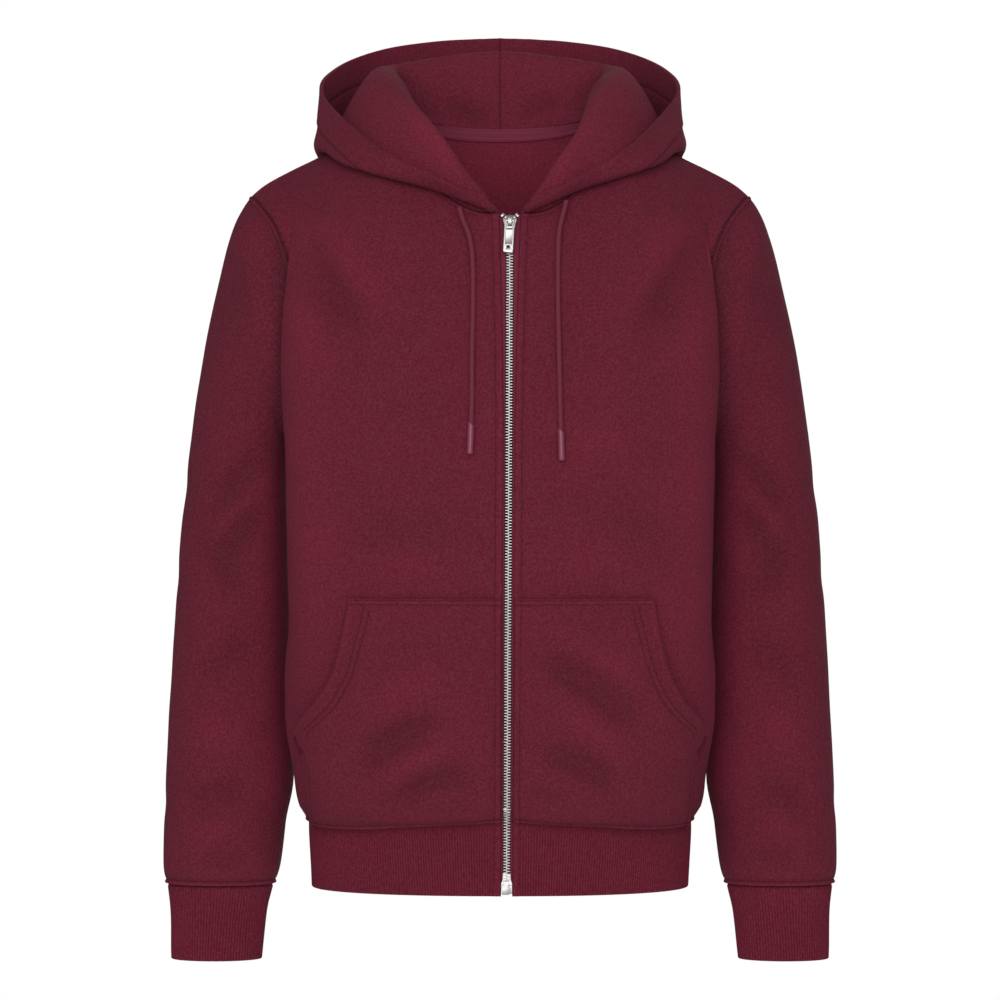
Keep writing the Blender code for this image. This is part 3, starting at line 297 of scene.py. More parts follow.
def smooth_path(points, steps=24):
    """A dense smooth path through a few points."""
    points = np.array(points, float)
    keys = list(lengths_along(points))
    places = [blend(a, b, i / steps) for a, b in zip(keys, keys[1:]) for i in range(steps)]
    return np.array([smooth_read(keys, points, place) for place in places + keys[-1:]])


def read_along(values, lengths, places):
    """Values, one row for each length, read at other lengths."""
    return np.stack([np.interp(places, lengths, column) for column in values.T], axis=1)


def even_points(path, columns, start=0.0, end=None):
    lengths = lengths_along(path)
    end = lengths[-1] if end is None else end
    return read_along(path, lengths, np.linspace(start, end, columns + 1))


def torso_row(z):
    """The torso's section at a height between the rows of its table."""
    keys = [row.z for row in TORSO]
    return TorsoRow(z, *smooth_read(keys, np.array(TORSO)[:, 1:], z))


def section_columns(row, front_edge=ZIP_EDGE):
    """Columns of a section: the front's from the zip to the side, the back's from there on."""
    turn = np.linspace(0.0, math.pi, SECTION_STEPS + 1)
    in_front = turn < math.pi / 2
    power = 2.0 / np.where(in_front, row.front_power, row.back_power)
    depth = np.where(in_front, row.front, row.back) - row.widest
    x = row.half_width * np.sin(turn) ** power
    y = row.widest + depth * np.abs(np.cos(turn)) ** power
    x -= row.arm_room * np.exp(-((y - ARM_ROOM_Y) / ARM_ROOM_REACH) ** 2) * np.sin(turn)
    x[-1] = 0.0
    path = np.stack([x, y, np.full_like(x, row.z)], axis=1)
    girth = lengths_along(path)[-1]
    side = SIDE_SEAM * girth
    front = even_points(path, FRONT_COLUMNS, front_edge, side)
    return front, even_points(path, BACK_COLUMNS, side, girth)


def placed(grid, side):
    """A grid modelled for the left half, put on a side and carried sideways with the zip."""
    grid = grid * np.array([side, 1.0, 1.0])
    reach = np.maximum(0.0, 1.0 - (grid[..., 0] / ZIP_SHIFT_REACH) ** 2) ** 2
    height = (grid[..., 2] - ZIP_BOTTOM_Z) / (ZIP_TOP_Z - ZIP_BOTTOM_Z)
    shift = blend(ZIP_SHIFT_BOTTOM, ZIP_SHIFT_TOP, np.clip(height, 0.0, 1.0))
    grid[..., 0] += shift * reach * ease(-grid[..., 1] / ZIP_SHIFT_DEPTH)
    return grid


def torso_columns():
    """Rows of front and back columns from the waistband up to the underarm."""
    keys = [row.along for row in HEM]
    heights = np.array([row.z for row in HEM])
    hem = section_columns(TORSO[0])
    for line, start in zip(hem, (0.0, 1.0)):
        count = len(line) - 1
        line[:, 2] = [smooth_read(keys, heights, start + i / count) for i in range(count + 1)]
    rows = [hem]
    shares = [step / (2 * FINE) for step in range(1, 2 * FINE + 1)]
    above = section_columns(torso_row(TORSO_ROWS[0]))
    rows += [[blend(low, high, share) for low, high in zip(hem, above)] for share in shares]
    for low, high in zip(TORSO_ROWS, TORSO_ROWS[1:]):
        rows += [section_columns(torso_row(blend(low, high, share))) for share in shares]
    return [np.array(columns) for columns in zip(*rows)]


def yoke(base, top, armhole, fullness, fold):
    """Rows from the underarm to the neck and shoulder, for columns that end at the armhole."""
    rise = (np.arange(1, ARMHOLE_ROWS + 1) / ARMHOLE_ROWS)[:, None]
    across = (np.arange(len(base)) / (len(base) - 1))[None, :]
    angle = rise * math.pi / 2
    roundness = blend(fullness[0], fullness[1], ease(across / ROUND_FROM))
    bends = (rise ** YOKE_LAG[0] + 0 * across,
             blend(rise ** YOKE_LAG[1], 1.0 - np.cos(angle), roundness),
             blend(rise, np.sin(angle), roundness))
    grid = np.stack([blend(base[:, i], top[:, i], bend) for i, bend in enumerate(bends)], axis=-1)
    gap = armhole[1:] - grid[:, -1]
    share = np.maximum(0.0, (across - 0.5) / 0.5) ** ARMHOLE_PULL
    grid += gap[:, None, :] * share[..., None]
    crest = ease(1.0 - np.abs(across - FOLD_MIDDLE) / FOLD_REACH)
    height = np.sin(math.pi * np.minimum(1.0, rise * FOLD_TOP)) ** FOLD_SWELL
    grid[..., 0] += fold * height * crest
    grid[-1] = top
    return grid


def armhole_points(table, underarm):
    path = smooth_path([underarm] + [list(row) for row in table] + [list(SHOULDER[-1])])
    return even_points(path, ARMHOLE_ROWS)


def body_grids():
    """Grids of the left front and the left half of the back, with the armhole and neck seams."""
    fronts, backs = torso_columns()
    neck_front = even_points(smooth_path(NECK_FRONT), NECK_FRONT_COLUMNS)
    neck_back = even_points(smooth_path(NECK_BACK), NECK_BACK_COLUMNS)
    shoulder = even_points(smooth_path(SHOULDER), SHOULDER_COLUMNS)
    underarm = fronts[-1][-1]
    front_armhole = armhole_points(FRONT_ARMHOLE, underarm)
    back_armhole = armhole_points(BACK_ARMHOLE, underarm)
    top = np.concatenate([neck_front, shoulder[1:]])
    rows = yoke(fronts[-1], top, front_armhole, FRONT_FULLNESS, FRONT_FOLD)
    front = np.concatenate([fronts, rows])
    from_middle = backs[:, ::-1]
    top = np.concatenate([neck_back[::-1], shoulder[1:]])
    rows = yoke(from_middle[-1], top, back_armhole, BACK_FULLNESS, 0.0)
    back = np.concatenate([from_middle, rows])
    armhole = np.concatenate([front_armhole[::-1], back_armhole[1:-1]])
    return front, back, armhole, np.concatenate([neck_front, neck_back[1:]])


def sleeve_ring(row, columns):
    """A ring from its outer point forward, round under the arm and back."""
    outer = np.array([row.outer_x, row.middle, row.outer_z])
    inner = np.array([row.inner_x, row.middle, row.inner_z])
    turn = (2 * math.pi * np.arange(columns) / columns)[:, None]
    depth = np.array([0.0, -row.half_depth, 0.0])
    return (outer + inner) / 2 + (outer - inner) / 2 * np.cos(turn) + depth * np.sin(turn)


def smooth_rows(rings, step):
    """Rings joined by smooth rows about a step apart."""
    keys = list(lengths_along(rings).mean(axis=1))
    places = np.linspace(0.0, keys[-1], int(keys[-1] / step) + 1)
    return np.array([smooth_read(keys, rings, place) for place in places])


def hood_grid(neck_seam):
    """Rows from the neck seam over the roll and the trough to the rim."""
    keys = [row.along for row in HOOD]
    curves = [np.array([row[column] for row in HOOD]) for column in (1, 2, 3)]
    ribs = []
    for column, neck in enumerate(neck_seam):
        in_front = column <= NECK_FRONT_COLUMNS
        along = (column / NECK_FRONT_COLUMNS if in_front
                 else 1.0 + (column - NECK_FRONT_COLUMNS) / NECK_BACK_COLUMNS)
        roll, trough, rim = (smooth_read(keys, curve, along) for curve in curves)
        ribs.append(hood_profile(neck, roll, trough, rim))
    return np.array(ribs).transpose(1, 0, 2)


def hood_profile(neck, roll, trough, rim):
    """One column of the hood, from the neck seam to the rim."""
    out = (trough - roll) * np.array([1.0, 1.0, 0.0])
    reach = np.linalg.norm(out)
    out /= reach
    over = out * (reach * HOOD_ROLL)
    under = out * max(reach * HOOD_TUCK, (rim[2] - trough[2]) * HOOD_POUCH)
    stand = (rim - trough) * HOOD_STAND
    legs = ((neck, (roll - neck) * HOOD_LEAVE, roll, over), (roll, over, trough, under),
            (trough, under, rim, stand))
    points = [cubic(*leg, share) for leg, rows in zip(legs, HOOD_LEG_ROWS)
              for share in np.arange(rows) / rows]
    return np.array(points + [rim])


# ------------ creases

# A crease seen square on from one side: its ends, how far its middle bows to the left of its
# run, its widths to the left and right of its line, and how far it stands out (+) or in (-)
Crease = namedtuple("Crease", "view a0 z0 a1 z1 bow left right height")
VIEWS = {
    "front": (0, (0.0, -1.0, 0.0)),
    "back": (0, (0.0, 1.0, 0.0)),
    "left": (1, (1.0, 0.0, 0.0)),
    "right": (1, (-1.0, 0.0, 0.0)),
    "top": (0, (0.0, 0.0, 1.0)),
}


def seen_from(view, *rows):
    """Creases seen from one side, from rows with the other columns of Crease."""
    return tuple(Crease(view, *row) for row in rows)


BODY_CREASES = (
    *seen_from(
        "front",
        # drag lines from the armholes towards the chest
        (-190, -96, -112, -212, -4, 15, 19, -7.1),
        (-172, -84, -96, -196, 2, 15, 14, 3.1),
        (-192, -150, -140, -250, -6, 16, 18, 2.7),
        (194, -92, 118, -206, 4, 18, 15, -6.8),
        (176, -84, 104, -188, -2, 14, 15, 2.7),
        (194, -150, 146, -240, 6, 18, 16, 2.5),
        # slack across the chest and above the pockets
        (-130, -262, -26, -274, 6, 16, 20, -2.2),
        (-150, -372, -18, -362, -8, 18, 24, -3.1),
        (-160, -404, -20, -408, 5, 16, 16, 1.9),
        (36, -296, 140, -280, -6, 18, 20, 1.7),
        (60, -350, 168, -392, 8, 20, 18, -2.9),
        (30, -402, 150, -414, 4, 14, 18, 1.9),
    ),
    # the sides swell over the pockets' lower corners
    *seen_from("left", (-38, -446, -38, -600, 0, 34, 34, 6.4)),
    *seen_from("right", (-38, -446, -38, -600, 0, 34, 34, 6.4)),
    *seen_from(
        "back",
        # shoulders and back
        (-198, -100, -120, -240, 10, 18, 20, -6.1),
        (-176, -90, -96, -216, 8, 14, 16, 3.1),
        (200, -104, 126, -250, -12, 20, 18, -6.5),
        (178, -92, 102, -210, -8, 16, 14, 2.9),
        (-150, -330, 20, -352, 14, 20, 26, -3.1),
        (-60, -420, 150, -392, -16, 24, 20, -3.7),
        (-164, -470, -10, -500, 12, 18, 22, 2.7),
        (-170, -560, -40, -590, 10, 14, 20, -4.4),
        (172, -548, 30, -596, -12, 20, 14, -4.8),
        (150, -520, 60, -556, -10, 16, 14, 2.5),
        (-60, -604, 66, -600, 6, 10, 14, 2.4),
    ),
)
POCKET_CREASES = (
    *seen_from(
        "front",
        (-142, -596, -34, -528, 6, 14, 11, -7.4),
        (-118, -604, -26, -556, 6, 9, 9, 3.6),
        (-112, -622, -10, -580, 6, 9, 11, -6.4),
        (-130, -545, -30, -492, 8, 16, 16, 2.2),
        (-48, -596, -10, -592, 1, 4, 6, -2.2),
        (-120, -490, -30, -474, 6, 14, 14, -2),
        (16, -478, 140, -562, 8, 16, 10, -7.6),
        (30, -458, 140, -524, 10, 14, 12, 2.6),
        (16, -560, 118, -614, 8, 13, 9, -6.4),
        (34, -524, 124, -588, 8, 10, 10, 3.4),
        (16, -600, 60, -618, 3, 7, 6, -2.7),
    ),
)
SLEEVE_CREASES = (
    # the inner side touches the body down to the pocket's corner
    *seen_from("right", (22, -536, 22, -642, 0, 36, 36, 3.9)),
    *seen_from(
        "front",
        (206, -118, 262, -214, 10, 14, 18, -2),
        (198, -300, 268, -376, 10, 14, 16, -5.4),
        (196, -350, 262, -426, 10, 12, 15, -5.1),
        (206, -328, 268, -402, 10, 10, 10, 2.7),
        (276, -352, 214, -446, 8, 14, 12, -3.7),
        (204, -470, 284, -520, 8, 16, 18, -4.1),
        (208, -556, 286, -540, -8, 16, 16, 3.1),
        (212, -604, 292, -632, 8, 12, 16, -4.4),
        (222, -640, 296, -654, 5, 10, 10, 3.1),
        (214, -668, 280, -678, 3, 8, 8, -3.1),
    ),
    *seen_from(
        "back",
        (204, -120, 258, -220, -10, 18, 14, -5.1),
        (200, -316, 276, -360, -8, 16, 14, -5.4),
        (200, -366, 278, -420, -8, 16, 12, -5.8),
        (204, -342, 276, -390, -6, 10, 10, 2.9),
        (206, -440, 284, -470, -8, 14, 14, -3.7),
        (206, -560, 292, -600, -8, 16, 14, -4.4),
        (214, -640, 296, -660, -5, 12, 10, -4.1),
    ),
    *seen_from(
        "left",
        (-30, -330, 60, -352, 8, 14, 16, -1.2),
        (-20, -420, 64, -404, -6, 14, 14, -1.2),
        (-24, -620, 52, -636, 5, 12, 12, -1),
    ),
)
HOOD_CREASES = (
    *seen_from(
        "back",
        # deep folds inside, behind the turned-over edges
        (-104, 58, -56, -6, 3, 14, 5, 8),
        (109, 56, 66, -6, -5, 5, 14, 8),
        (-58, 26, -6, 2, 2, 7, 9, 4),
        (12, 4, 62, 30, 4, 9, 8, 3.6),
        # puckers where the cord gathers the hem
        (-22, 104, -20, 74, 0, 4, 4.5, -1.3),
        (-9, 104, -6, 72, 0, 4, 4, -1.8),
        (4, 104, 5, 76, 0, 4, 4, 1.2),
        (16, 104, 14, 74, 0, 4.5, 4, -1.5),
        (30, 103, 27, 74, 0, 4, 5, -1.6),
        (43, 102, 40, 74, 0, 5, 4, 1.3),
        (-96, 30, -40, -84, 14, 14, 16, -5.1),
        (92, 36, 48, -90, -12, 16, 14, -5.4),
        (-24, 40, -14, -80, 4, 12, 12, 2.4),
    ),
    *seen_from(
        "left",
        (10, 6, 96, -48, 10, 12, 14, -4.1),
        (-40, -20, 30, -16, -6, 10, 12, 2.5),
    ),
    *seen_from(
        "right",
        (14, 2, 90, -52, 10, 12, 14, -4.1),
        (-36, -22, 34, -14, -6, 10, 12, 2.5),
    ),
)
CREASES = {
    "front": BODY_CREASES, "back": BODY_CREASES, "pocket": BODY_CREASES + POCKET_CREASES,
    "sleeve": SLEEVE_CREASES, "hood": HOOD_CREASES, "waistband": (), "cuff": (),
}
CREASE_TAPER = 0.4  # share of a crease's length over which each end fades
FACING_LEAST = 0.05  # how far cloth has to face a crease's side, and how soon it takes all
FACING_SPAN = 0.5
SLACK_WAVES = 6
SLACK_LENGTH = 52.0  # the shortest wave, and how much longer each next one is
SLACK_STEP = 17.0
SLACK_TURN = 2.4  # radians from one wave to the next, and their skew and lag
SLACK_SKEW = 1.7
SLACK_LAG = 1.9
SLACK_DEPTH = 0.5


def mirrored(creases):
    """Creases of a left piece for the right one."""
    other = {"left": "right", "right": "left"}
    return tuple(
        crease._replace(view=other[crease.view]) if crease.view in other else
        crease._replace(a0=-crease.a0, a1=-crease.a1, bow=-crease.bow, left=crease.right,
                        right=crease.left)
        for crease in creases)


def crease_lift(points, normals, creases):
    """How far the creases move each point out along its normal."""
    lift = np.zeros(points.shape[:-1])
    for crease in creases:
        axis, way = VIEWS[crease.view]
        run = np.array([crease.a1 - crease.a0, crease.z1 - crease.z0])
        length = np.linalg.norm(run)
        run = run / length
        flat = np.stack([points[..., axis] - crease.a0, points[..., 2] - crease.z0], axis=-1)
        share = np.clip(flat @ run / length, 0.0, 1.0)
        aside = flat @ np.array([-run[1], run[0]]) - crease.bow * 4.0 * share * (1.0 - share)
        width = np.where(aside > 0.0, crease.left, crease.right)
        taper = ease(np.minimum(share, 1.0 - share) / CREASE_TAPER)
        facing = ease((normals @ np.array(way) - FACING_LEAST) / FACING_SPAN)
        lift += crease.height * taper * facing * np.exp(-(aside / width) ** 2)
    return lift


def slack(points, seed):
    """Low uneven waves that keep the cloth from lying dead flat."""
    total = np.zeros(points.shape[:-1])
    for number in range(SLACK_WAVES):
        turn = SLACK_TURN * (number + seed)
        way = np.array([math.cos(turn), math.sin(turn * SLACK_SKEW), math.sin(turn)])
        wave = 2 * math.pi / (SLACK_LENGTH + SLACK_STEP * number)
        total += np.sin(points @ way * wave + SLACK_LAG * number + seed)
    return total / SLACK_WAVES


# ------------ sewn edges

# An edge of a piece: its side, whether it is a seam or a free rim, and the height and reach of
# the welt that its turned-in allowance makes
Edge = namedtuple("Edge", "side kind welt reach", defaults=(0.0, 0.0))
# A row of stitches: its side, its distance from that side's edge, and the limits between which
# it runs, in z along an upright side and in distance from the middle along a level one
Line = namedtuple("Line", "side distance low high", defaults=(-1000.0, 1000.0))
FOUR_SIDES = ("start", "end", "bottom", "top")
FOLD_SHADE = 5.0  # depth of a fold whose painted shade makes it look half as dark again
WELT_HIGHLIGHT_REACH = 2.6  # widest welt that gets a painted highlight all over
ZIP_FLAT = 9.0  # the fronts stay flat where the zip's tapes lie behind them
EDGES = {
    "front": (Edge("start", "rim", 1, 6.4), Edge("end", "seam"),
              Edge("bottom", "seam", 1.4, 3.4), Edge("top", "seam", 0.5, 4.4)),
    "back": (Edge("start", "seam"), Edge("end", "seam"),
             Edge("bottom", "seam", 1.4, 3.4), Edge("top", "seam", 0.6, 6)),
    "sleeve": (Edge("bottom", "seam", 0.7, 5.2), Edge("top", "seam", 1.5, 3.4)),
    "hood": (Edge("start", "rim"), Edge("end", "seam", 0.3, 4),
             Edge("bottom", "seam", 0.5, 4), Edge("top", "rim", 1.5, 27)),
    "pocket": (Edge("start", "rim", 0.7, 5.8), Edge("end", "rim", 0.9, 5.2),
               Edge("bottom", "seam", 1.4, 3.2), Edge("top", "rim", 1.3, 5.6)),
    "waistband": (Edge("start", "rim", 0.5, 6), Edge("end", "rim", 0.5, 6),
                  Edge("bottom", "rim"), Edge("top", "seam")),
    "cuff": (Edge("bottom", "seam"), Edge("top", "rim")),
    "tape": tuple(Edge(side, "rim") for side in FOUR_SIDES),
    "zip": (Edge("start", "rim", 0.35, 1.6), Edge("end", "rim"),
            Edge("bottom", "rim"), Edge("top", "rim")),
}
FREE_SIDES = {"hood": ("top",), "pocket": ("end",)}  # creases run out over these
LINES = {
    "front": (Line("start", 6.4, -428, -97), Line("bottom", 5, 168, 1000),
              Line("top", 4.4, 17, 92)),
    "back": (Line("bottom", 5), Line("top", 1),
             Line("top", 6)),
    "sleeve": (Line("bottom", 1), Line("bottom", 5.2),
               Line("top", 5)),
    "hood": (Line("top", 27),),
    "pocket": (Line("start", 5.8, -632, -434), Line("bottom", 4.8),
               Line("top", 2), Line("top", 5.6),
               Line("end", 5.2, -640, -556),
               Line("end", 15.5, -551, -440), Line("end", 21.5, -556, -440)),
    "waistband": (Line("start", 6, -694, -630), Line("end", 6, -694, -630)),
    "tape": (Line("top", 1.4),),
}
RIM_STEPS = (0.0, 0.12, 0.4, 0.75, 1.1, 1.8)
SEAM_STEPS = (0.0, 0.5, 1.0, 1.6, 2.4)
STITCH_STEPS = (-0.9, -0.45, 0.0, 0.45, 0.9)
NEAREST = 0.1  # between two lines of points
SPARE = 1.0  # least width left between the lines at two opposite edges
WELT_INSET = 0.4  # where a welt's slope begins and how wide it is
WELT_SLOPE = 1.4
SEAM_DEPTH = 0.9
SEAM_WIDTH = 1.2
SEAM_INSIDE = 0.4  # share of that depth on the inner face, and at a piece's far end
SEAM_INSIDE_END = 1.3
GROOVE_DEPTH = 0.7
GROOVE_WIDTH = 0.75
GROOVE_INSIDE = 0.8
RIM_ROUND = 0.48  # radius of a rim, as a share of the wall
RIM_FACE = 0.3  # the points nearer than this also lose the welt
PULL_DEPTH = 0.14  # the cloth is pulled in unevenly near its stitches
PULL_REACH = 4.0
PULL_WAVES = (0.9, 0.37)
# Painted shade on the cloth: in seams, grooves and under rims, and per millimetre of a welt, which
# also sets the painted highlight on its top
SEAM_SHADE = 0.85
GROOVE_SHADE = 0.85
RIM_SHADE = 0.75
RIM_SHADE_REACH = 0.9
BROAD_WELT = 10.0  # a welt as wide as this has no painted dark rim
WELT_SHADE = 0.65

# Distance between the lines of points on each kind of cloth
SPACINGS = {"front": 4.2, "back": 5.0, "sleeve": 4.6, "hood": 4.4, "pocket": 3.0,
            "waistband": 7.0, "cuff": 7.0, "tape": 3.0, "zip": 4.0}
WALLS = {"waistband": RIB_WALL, "cuff": RIB_WALL, "tape": TAPE, "zip": TAPE}


class Cloth:
    """A piece of cloth: a fine grid of points on its outer face, its normals and its lifts."""

    def __init__(self, name, points, sense, kind=None, closed=False, even=False, slanted=False):
        self.name = name
        self.kind = kind or name.split("_")[0]
        self.sense = sense
        self.closed = closed
        self.wall = WALLS.get(self.kind, FLEECE)
        self.spacing = SPACINGS[self.kind]
        self.slant = slant_of(points) if slanted else np.ones(len(points))
        if not (closed or even):
            points = self.spaced(points, 1, ("start", "end"))
        self.points = self.spaced(points, 0, ("bottom", "top"))
        if slanted:
            before, after = (lengths_along(grid)[:, -1] for grid in (points, self.points))
            self.slant = np.interp(after, before, self.slant)
        self.normals = grid_normals(self.points, sense, closed)
        around = self.points
        if closed:
            around = np.concatenate([around, around[:, :1]], axis=1)
        self.across = lengths_along(around.transpose(1, 0, 2)).T
        self.up = lengths_along(self.points)
        blank = np.zeros((4, *self.points.shape[:2]))
        # the last two carry painted shade and highlight for the cloth's colour
        self.face, self.inside, self.hollow, self.fold = blank
        self.crest = None

    def spaced(self, points, axis, sides):
        """Rows or columns set close together at edges and stitches, and evenly between."""
        if axis == 1:
            points = points.transpose(1, 0, 2)
        lengths = lengths_along(points)
        near = [self.near_places(side) for side in sides]
        middle = lengths[-1].max() - near[0][-1] - near[1][-1]
        count = max(4, int(round(middle / self.spacing)))
        lines = []
        for at in range(points.shape[1]):
            full = lengths[-1, at]
            scale = min(1.0, full / (near[0][-1] + near[1][-1] + SPARE))
            lean = self.slant[at] if axis == 1 else 1.0
            first, last = near[0] * scale, full - near[1][::-1] * scale * lean
            between = np.linspace(first[-1], last[0], count + 1)[1:-1]
            places = np.concatenate([first, between, last])
            lines.append(read_along(points[:, at], lengths[:, at], places))
        lines = np.array(lines)
        return lines if axis == 1 else lines.transpose(1, 0, 2)

    def near_places(self, side):
        """Distances from an edge at which its shape and its stitches need a line of points."""
        kinds = [edge.kind for edge in EDGES[self.kind] if edge.side == side]
        places = set(RIM_STEPS if kinds == ["rim"] else SEAM_STEPS)
        for line in LINES.get(self.kind, ()):
            if line.side == side:
                places |= {line.distance + step for step in STITCH_STEPS}
        chosen = [0.0]
        for place in sorted(place for place in places if place > 0.0):
            gap = place - chosen[-1]
            if gap < NEAREST:
                continue
            extra = int(gap / self.spacing)
            chosen += [blend(chosen[-1], place, i / (extra + 1)) for i in range(1, extra + 1)]
            chosen.append(place)
        return np.array(chosen)

    def from_side(self, side):
        """Each point's distance from one side of the piece."""
        across = self.across[:, :self.points.shape[1]]
        if side == "end":
            slant = self.slant[:, None] if len(self.slant) == len(across) else 1.0
            return (self.across[:, -1:] - across) / slant
        return {"start": across, "bottom": self.up, "top": self.up[-1:] - self.up}[side]

    def along_side(self, side):
        """What limits a line along a side: heights, or distances from the middle."""
        upright = side in ("start", "end")
        return self.points[..., 2] if upright else np.abs(self.points[..., 0])

    def sew(self):
        """Shape the edges, press in the rows of stitches, and paint shade in seams, grooves and
        under rims and a highlight on welts.
        """
        for edge in EDGES[self.kind]:
            away = self.from_side(edge.side)
            if edge.welt:
                welt = 1.0 - ease((away - edge.reach + WELT_INSET) / WELT_SLOPE)
                self.face += edge.welt * welt
                # a painted highlight on the welt's top, weaker on broad welts
                highlight_share = WELT_HIGHLIGHT_REACH / max(edge.reach, WELT_HIGHLIGHT_REACH)
                self.hollow -= edge.welt * highlight_share * WELT_SHADE * welt
            if edge.kind == "seam":
                dip = np.exp(-(away / SEAM_WIDTH) ** 2)
                # painted shade in the seam, deeper beside a welt
                self.hollow += (SEAM_SHADE + edge.welt * WELT_SHADE) * dip
                self.face -= (SEAM_DEPTH + edge.welt) * dip
                share = SEAM_INSIDE_END if edge.side == "end" else SEAM_INSIDE
                self.inside += SEAM_DEPTH * share * dip
            else:
                if edge.welt and edge.reach < BROAD_WELT:
                    # painted shade under the turned-in rim
                    self.hollow += RIM_SHADE * np.exp(-(away / RIM_SHADE_REACH) ** 2)
                radius = self.wall * RIM_ROUND
                rounding = np.sqrt(1.0 - (1.0 - np.clip(away / radius, 0.0, 1.0)) ** 2)
                self.face -= (radius + edge.welt * (away < RIM_FACE)) * (1.0 - rounding)
                self.inside += radius * (1.0 - rounding)
        for line in LINES.get(self.kind, ()):
            away = self.from_side(line.side)
            limits = self.along_side(line.side)
            inside = ((limits > line.low) & (limits < line.high)).astype(float)
            groove = inside * np.exp(-((away - line.distance) / GROOVE_WIDTH) ** 2)
            along = self.up if line.side in ("start", "end") else self.across[:, :away.shape[1]]
            short, long = PULL_WAVES
            pull = np.sin(along * short) * np.sin(along * long + line.distance)
            near = inside * np.exp(-((away - line.distance) / PULL_REACH) ** 2)
            self.face += PULL_DEPTH * pull * near - GROOVE_DEPTH * groove
            self.inside += GROOVE_DEPTH * GROOVE_INSIDE * groove
            # painted shade in the groove of the stitches
            self.hollow += GROOVE_SHADE * groove

    def outer(self):
        return self.points + self.normals * self.face[..., None]

    def inner(self):
        wall = np.broadcast_to(self.wall, self.points.shape[:2])
        return self.points + self.normals * (self.inside - wall)[..., None]

    def line_path(self, line, inner=False):
        """Points and normals along a row of stitches."""
        surface = self.inner() if inner else self.outer()
        normals = grid_normals(surface, self.sense, self.closed) * (-1.0 if inner else 1.0)
        away = self.from_side(line.side)
        limits = self.along_side(line.side)
        if line.side in ("bottom", "top"):
            away, limits = away.T, limits.T
            surface, normals = surface.transpose(1, 0, 2), normals.transpose(1, 0, 2)
        if line.side in ("end", "top"):
            away, limits = away[:, ::-1], limits[:, ::-1]
            surface, normals = surface[:, ::-1], normals[:, ::-1]
        path = []
        for row in range(len(away)):
            at = [line.distance]
            if line.low < np.interp(line.distance, away[row], limits[row]) < line.high:
                point = read_along(surface[row], away[row], at)[0]
                normal = read_along(normals[row], away[row], at)[0]
                path.append((point, normal / np.linalg.norm(normal)))
        if self.closed and line.side in ("bottom", "top"):
            path.append(path[0])
        return path


SLANT_MEAN = 7  # rows over which the slant is evened out


def slant_of(points):
    """For each row, how much longer a way along it is than square to the slanted end."""
    edge = unit(np.gradient(points[:, -1], axis=0))
    row = unit(points[:, -1] - points[:, -2])
    square = np.linalg.norm(np.cross(edge, row), axis=1)
    padded = np.pad(1.0 / np.maximum(square, 0.5), SLANT_MEAN // 2, "edge")
    return np.convolve(padded, np.ones(SLANT_MEAN) / SLANT_MEAN, "valid")


def grid_normals(points, sense, closed):
    """Unit normals of a grid's outer side."""
    if closed:
        along = np.roll(points, -1, axis=1) - np.roll(points, 1, axis=1)
    else:
        along = np.gradient(points, axis=1)
    normals = np.cross(along, np.gradient(points, axis=0)) * sense
    return normals / np.maximum(np.linalg.norm(normals, axis=-1, keepdims=True), 1e-9)


@lru_cache(maxsize=1)
def all_cloth(depth):
    """Every piece of fleece and rib knit, creased to a share of the full depth and sewn."""
    front, back, armhole, neck = body_grids()
    hood = hood_grid(neck)
    cloth = {}
    for word, side in SIDES:
        name = "front_" + word
        cloth[name] = Cloth(name, placed(front, side), side)
    backs = [placed(back, side) for _, side in SIDES]
    whole = np.concatenate([backs[0][:, ::-1], backs[1][:, 1:]], axis=1)
    cloth["back"] = Cloth("back", whole, 1)
    for word, side in SIDES:
        name = "sleeve_" + word
        rings = [armhole] + [sleeve_ring(row, len(armhole)) for row in SLEEVE]
        rows = smooth_rows(placed(np.array(rings), side), SLEEVE_STEP)
        cloth[name] = Cloth(name, rows, side, closed=True)
        name = "hood_" + word
        cloth[name] = Cloth(name, placed(hood, side), side)
        cloth[name].wall = blend(HOOD_PARED, FLEECE, ease(cloth[name].across / PARED_REACH))
        name = "pocket_" + word
        cloth[name] = pocket_cloth(name, front, side)
    cloth["waistband"] = waistband_cloth(cloth)
    for word, side in SIDES:
        cloth["cuff_" + word] = cuff_cloth("cuff_" + word, cloth["sleeve_" + word], side)
    for number, piece in enumerate(cloth.values()):
        crease_piece(piece, 1 if piece.kind in ("front", "pocket") else number, depth)
        # painted shade and highlight on the sleeves' inner sides and the body's sides
        piece.hollow += side_shade(piece)
        piece.sew()
        if piece.kind in RIBS:
            raise_ribs(piece)
    cloth["neck_tape"] = neck_tape_cloth(cloth["back"])
    return cloth


def crease_piece(piece, seed, depth):
    """Give a piece its creases and slack, the creases to a share of their full depth."""
    creases = CREASES[piece.kind]
    if piece.name == "sleeve_right":
        creases = mirrored(creases)
    lift = crease_lift(piece.points, piece.normals, creases) * depth
    lift += SLACK_DEPTH * slack(piece.points, seed)
    lift *= calm(piece)
    if piece.kind == "pocket":
        near = np.min([piece.from_side(side) for side in FOUR_SIDES], axis=0)
        lift = np.maximum(lift, -POCKET_STEEPEST * near)
    piece.face += lift
    piece.inside += lift
    # painted shade in the troughs and a painted highlight on the ridges, from the folds' depth
    piece.fold = np.clip(lift / FOLD_SHADE, -1.0, 1.0)


LEE_SIDE = 192.0  # distance from the middle at which sleeves and body meet
LEE_WIDTHS = (24.0, 13.0)  # width of the painted highlight below and the painted shade beside the upper body
# a painted highlight on the sleeves' inner sides below the upper body, painted shade beside it
LEE_SHADES = (-0.9, 0.95)
# a painted highlight on the body's sides where they turn sideways
BODY_SIDE_HIGHLIGHT = -0.5
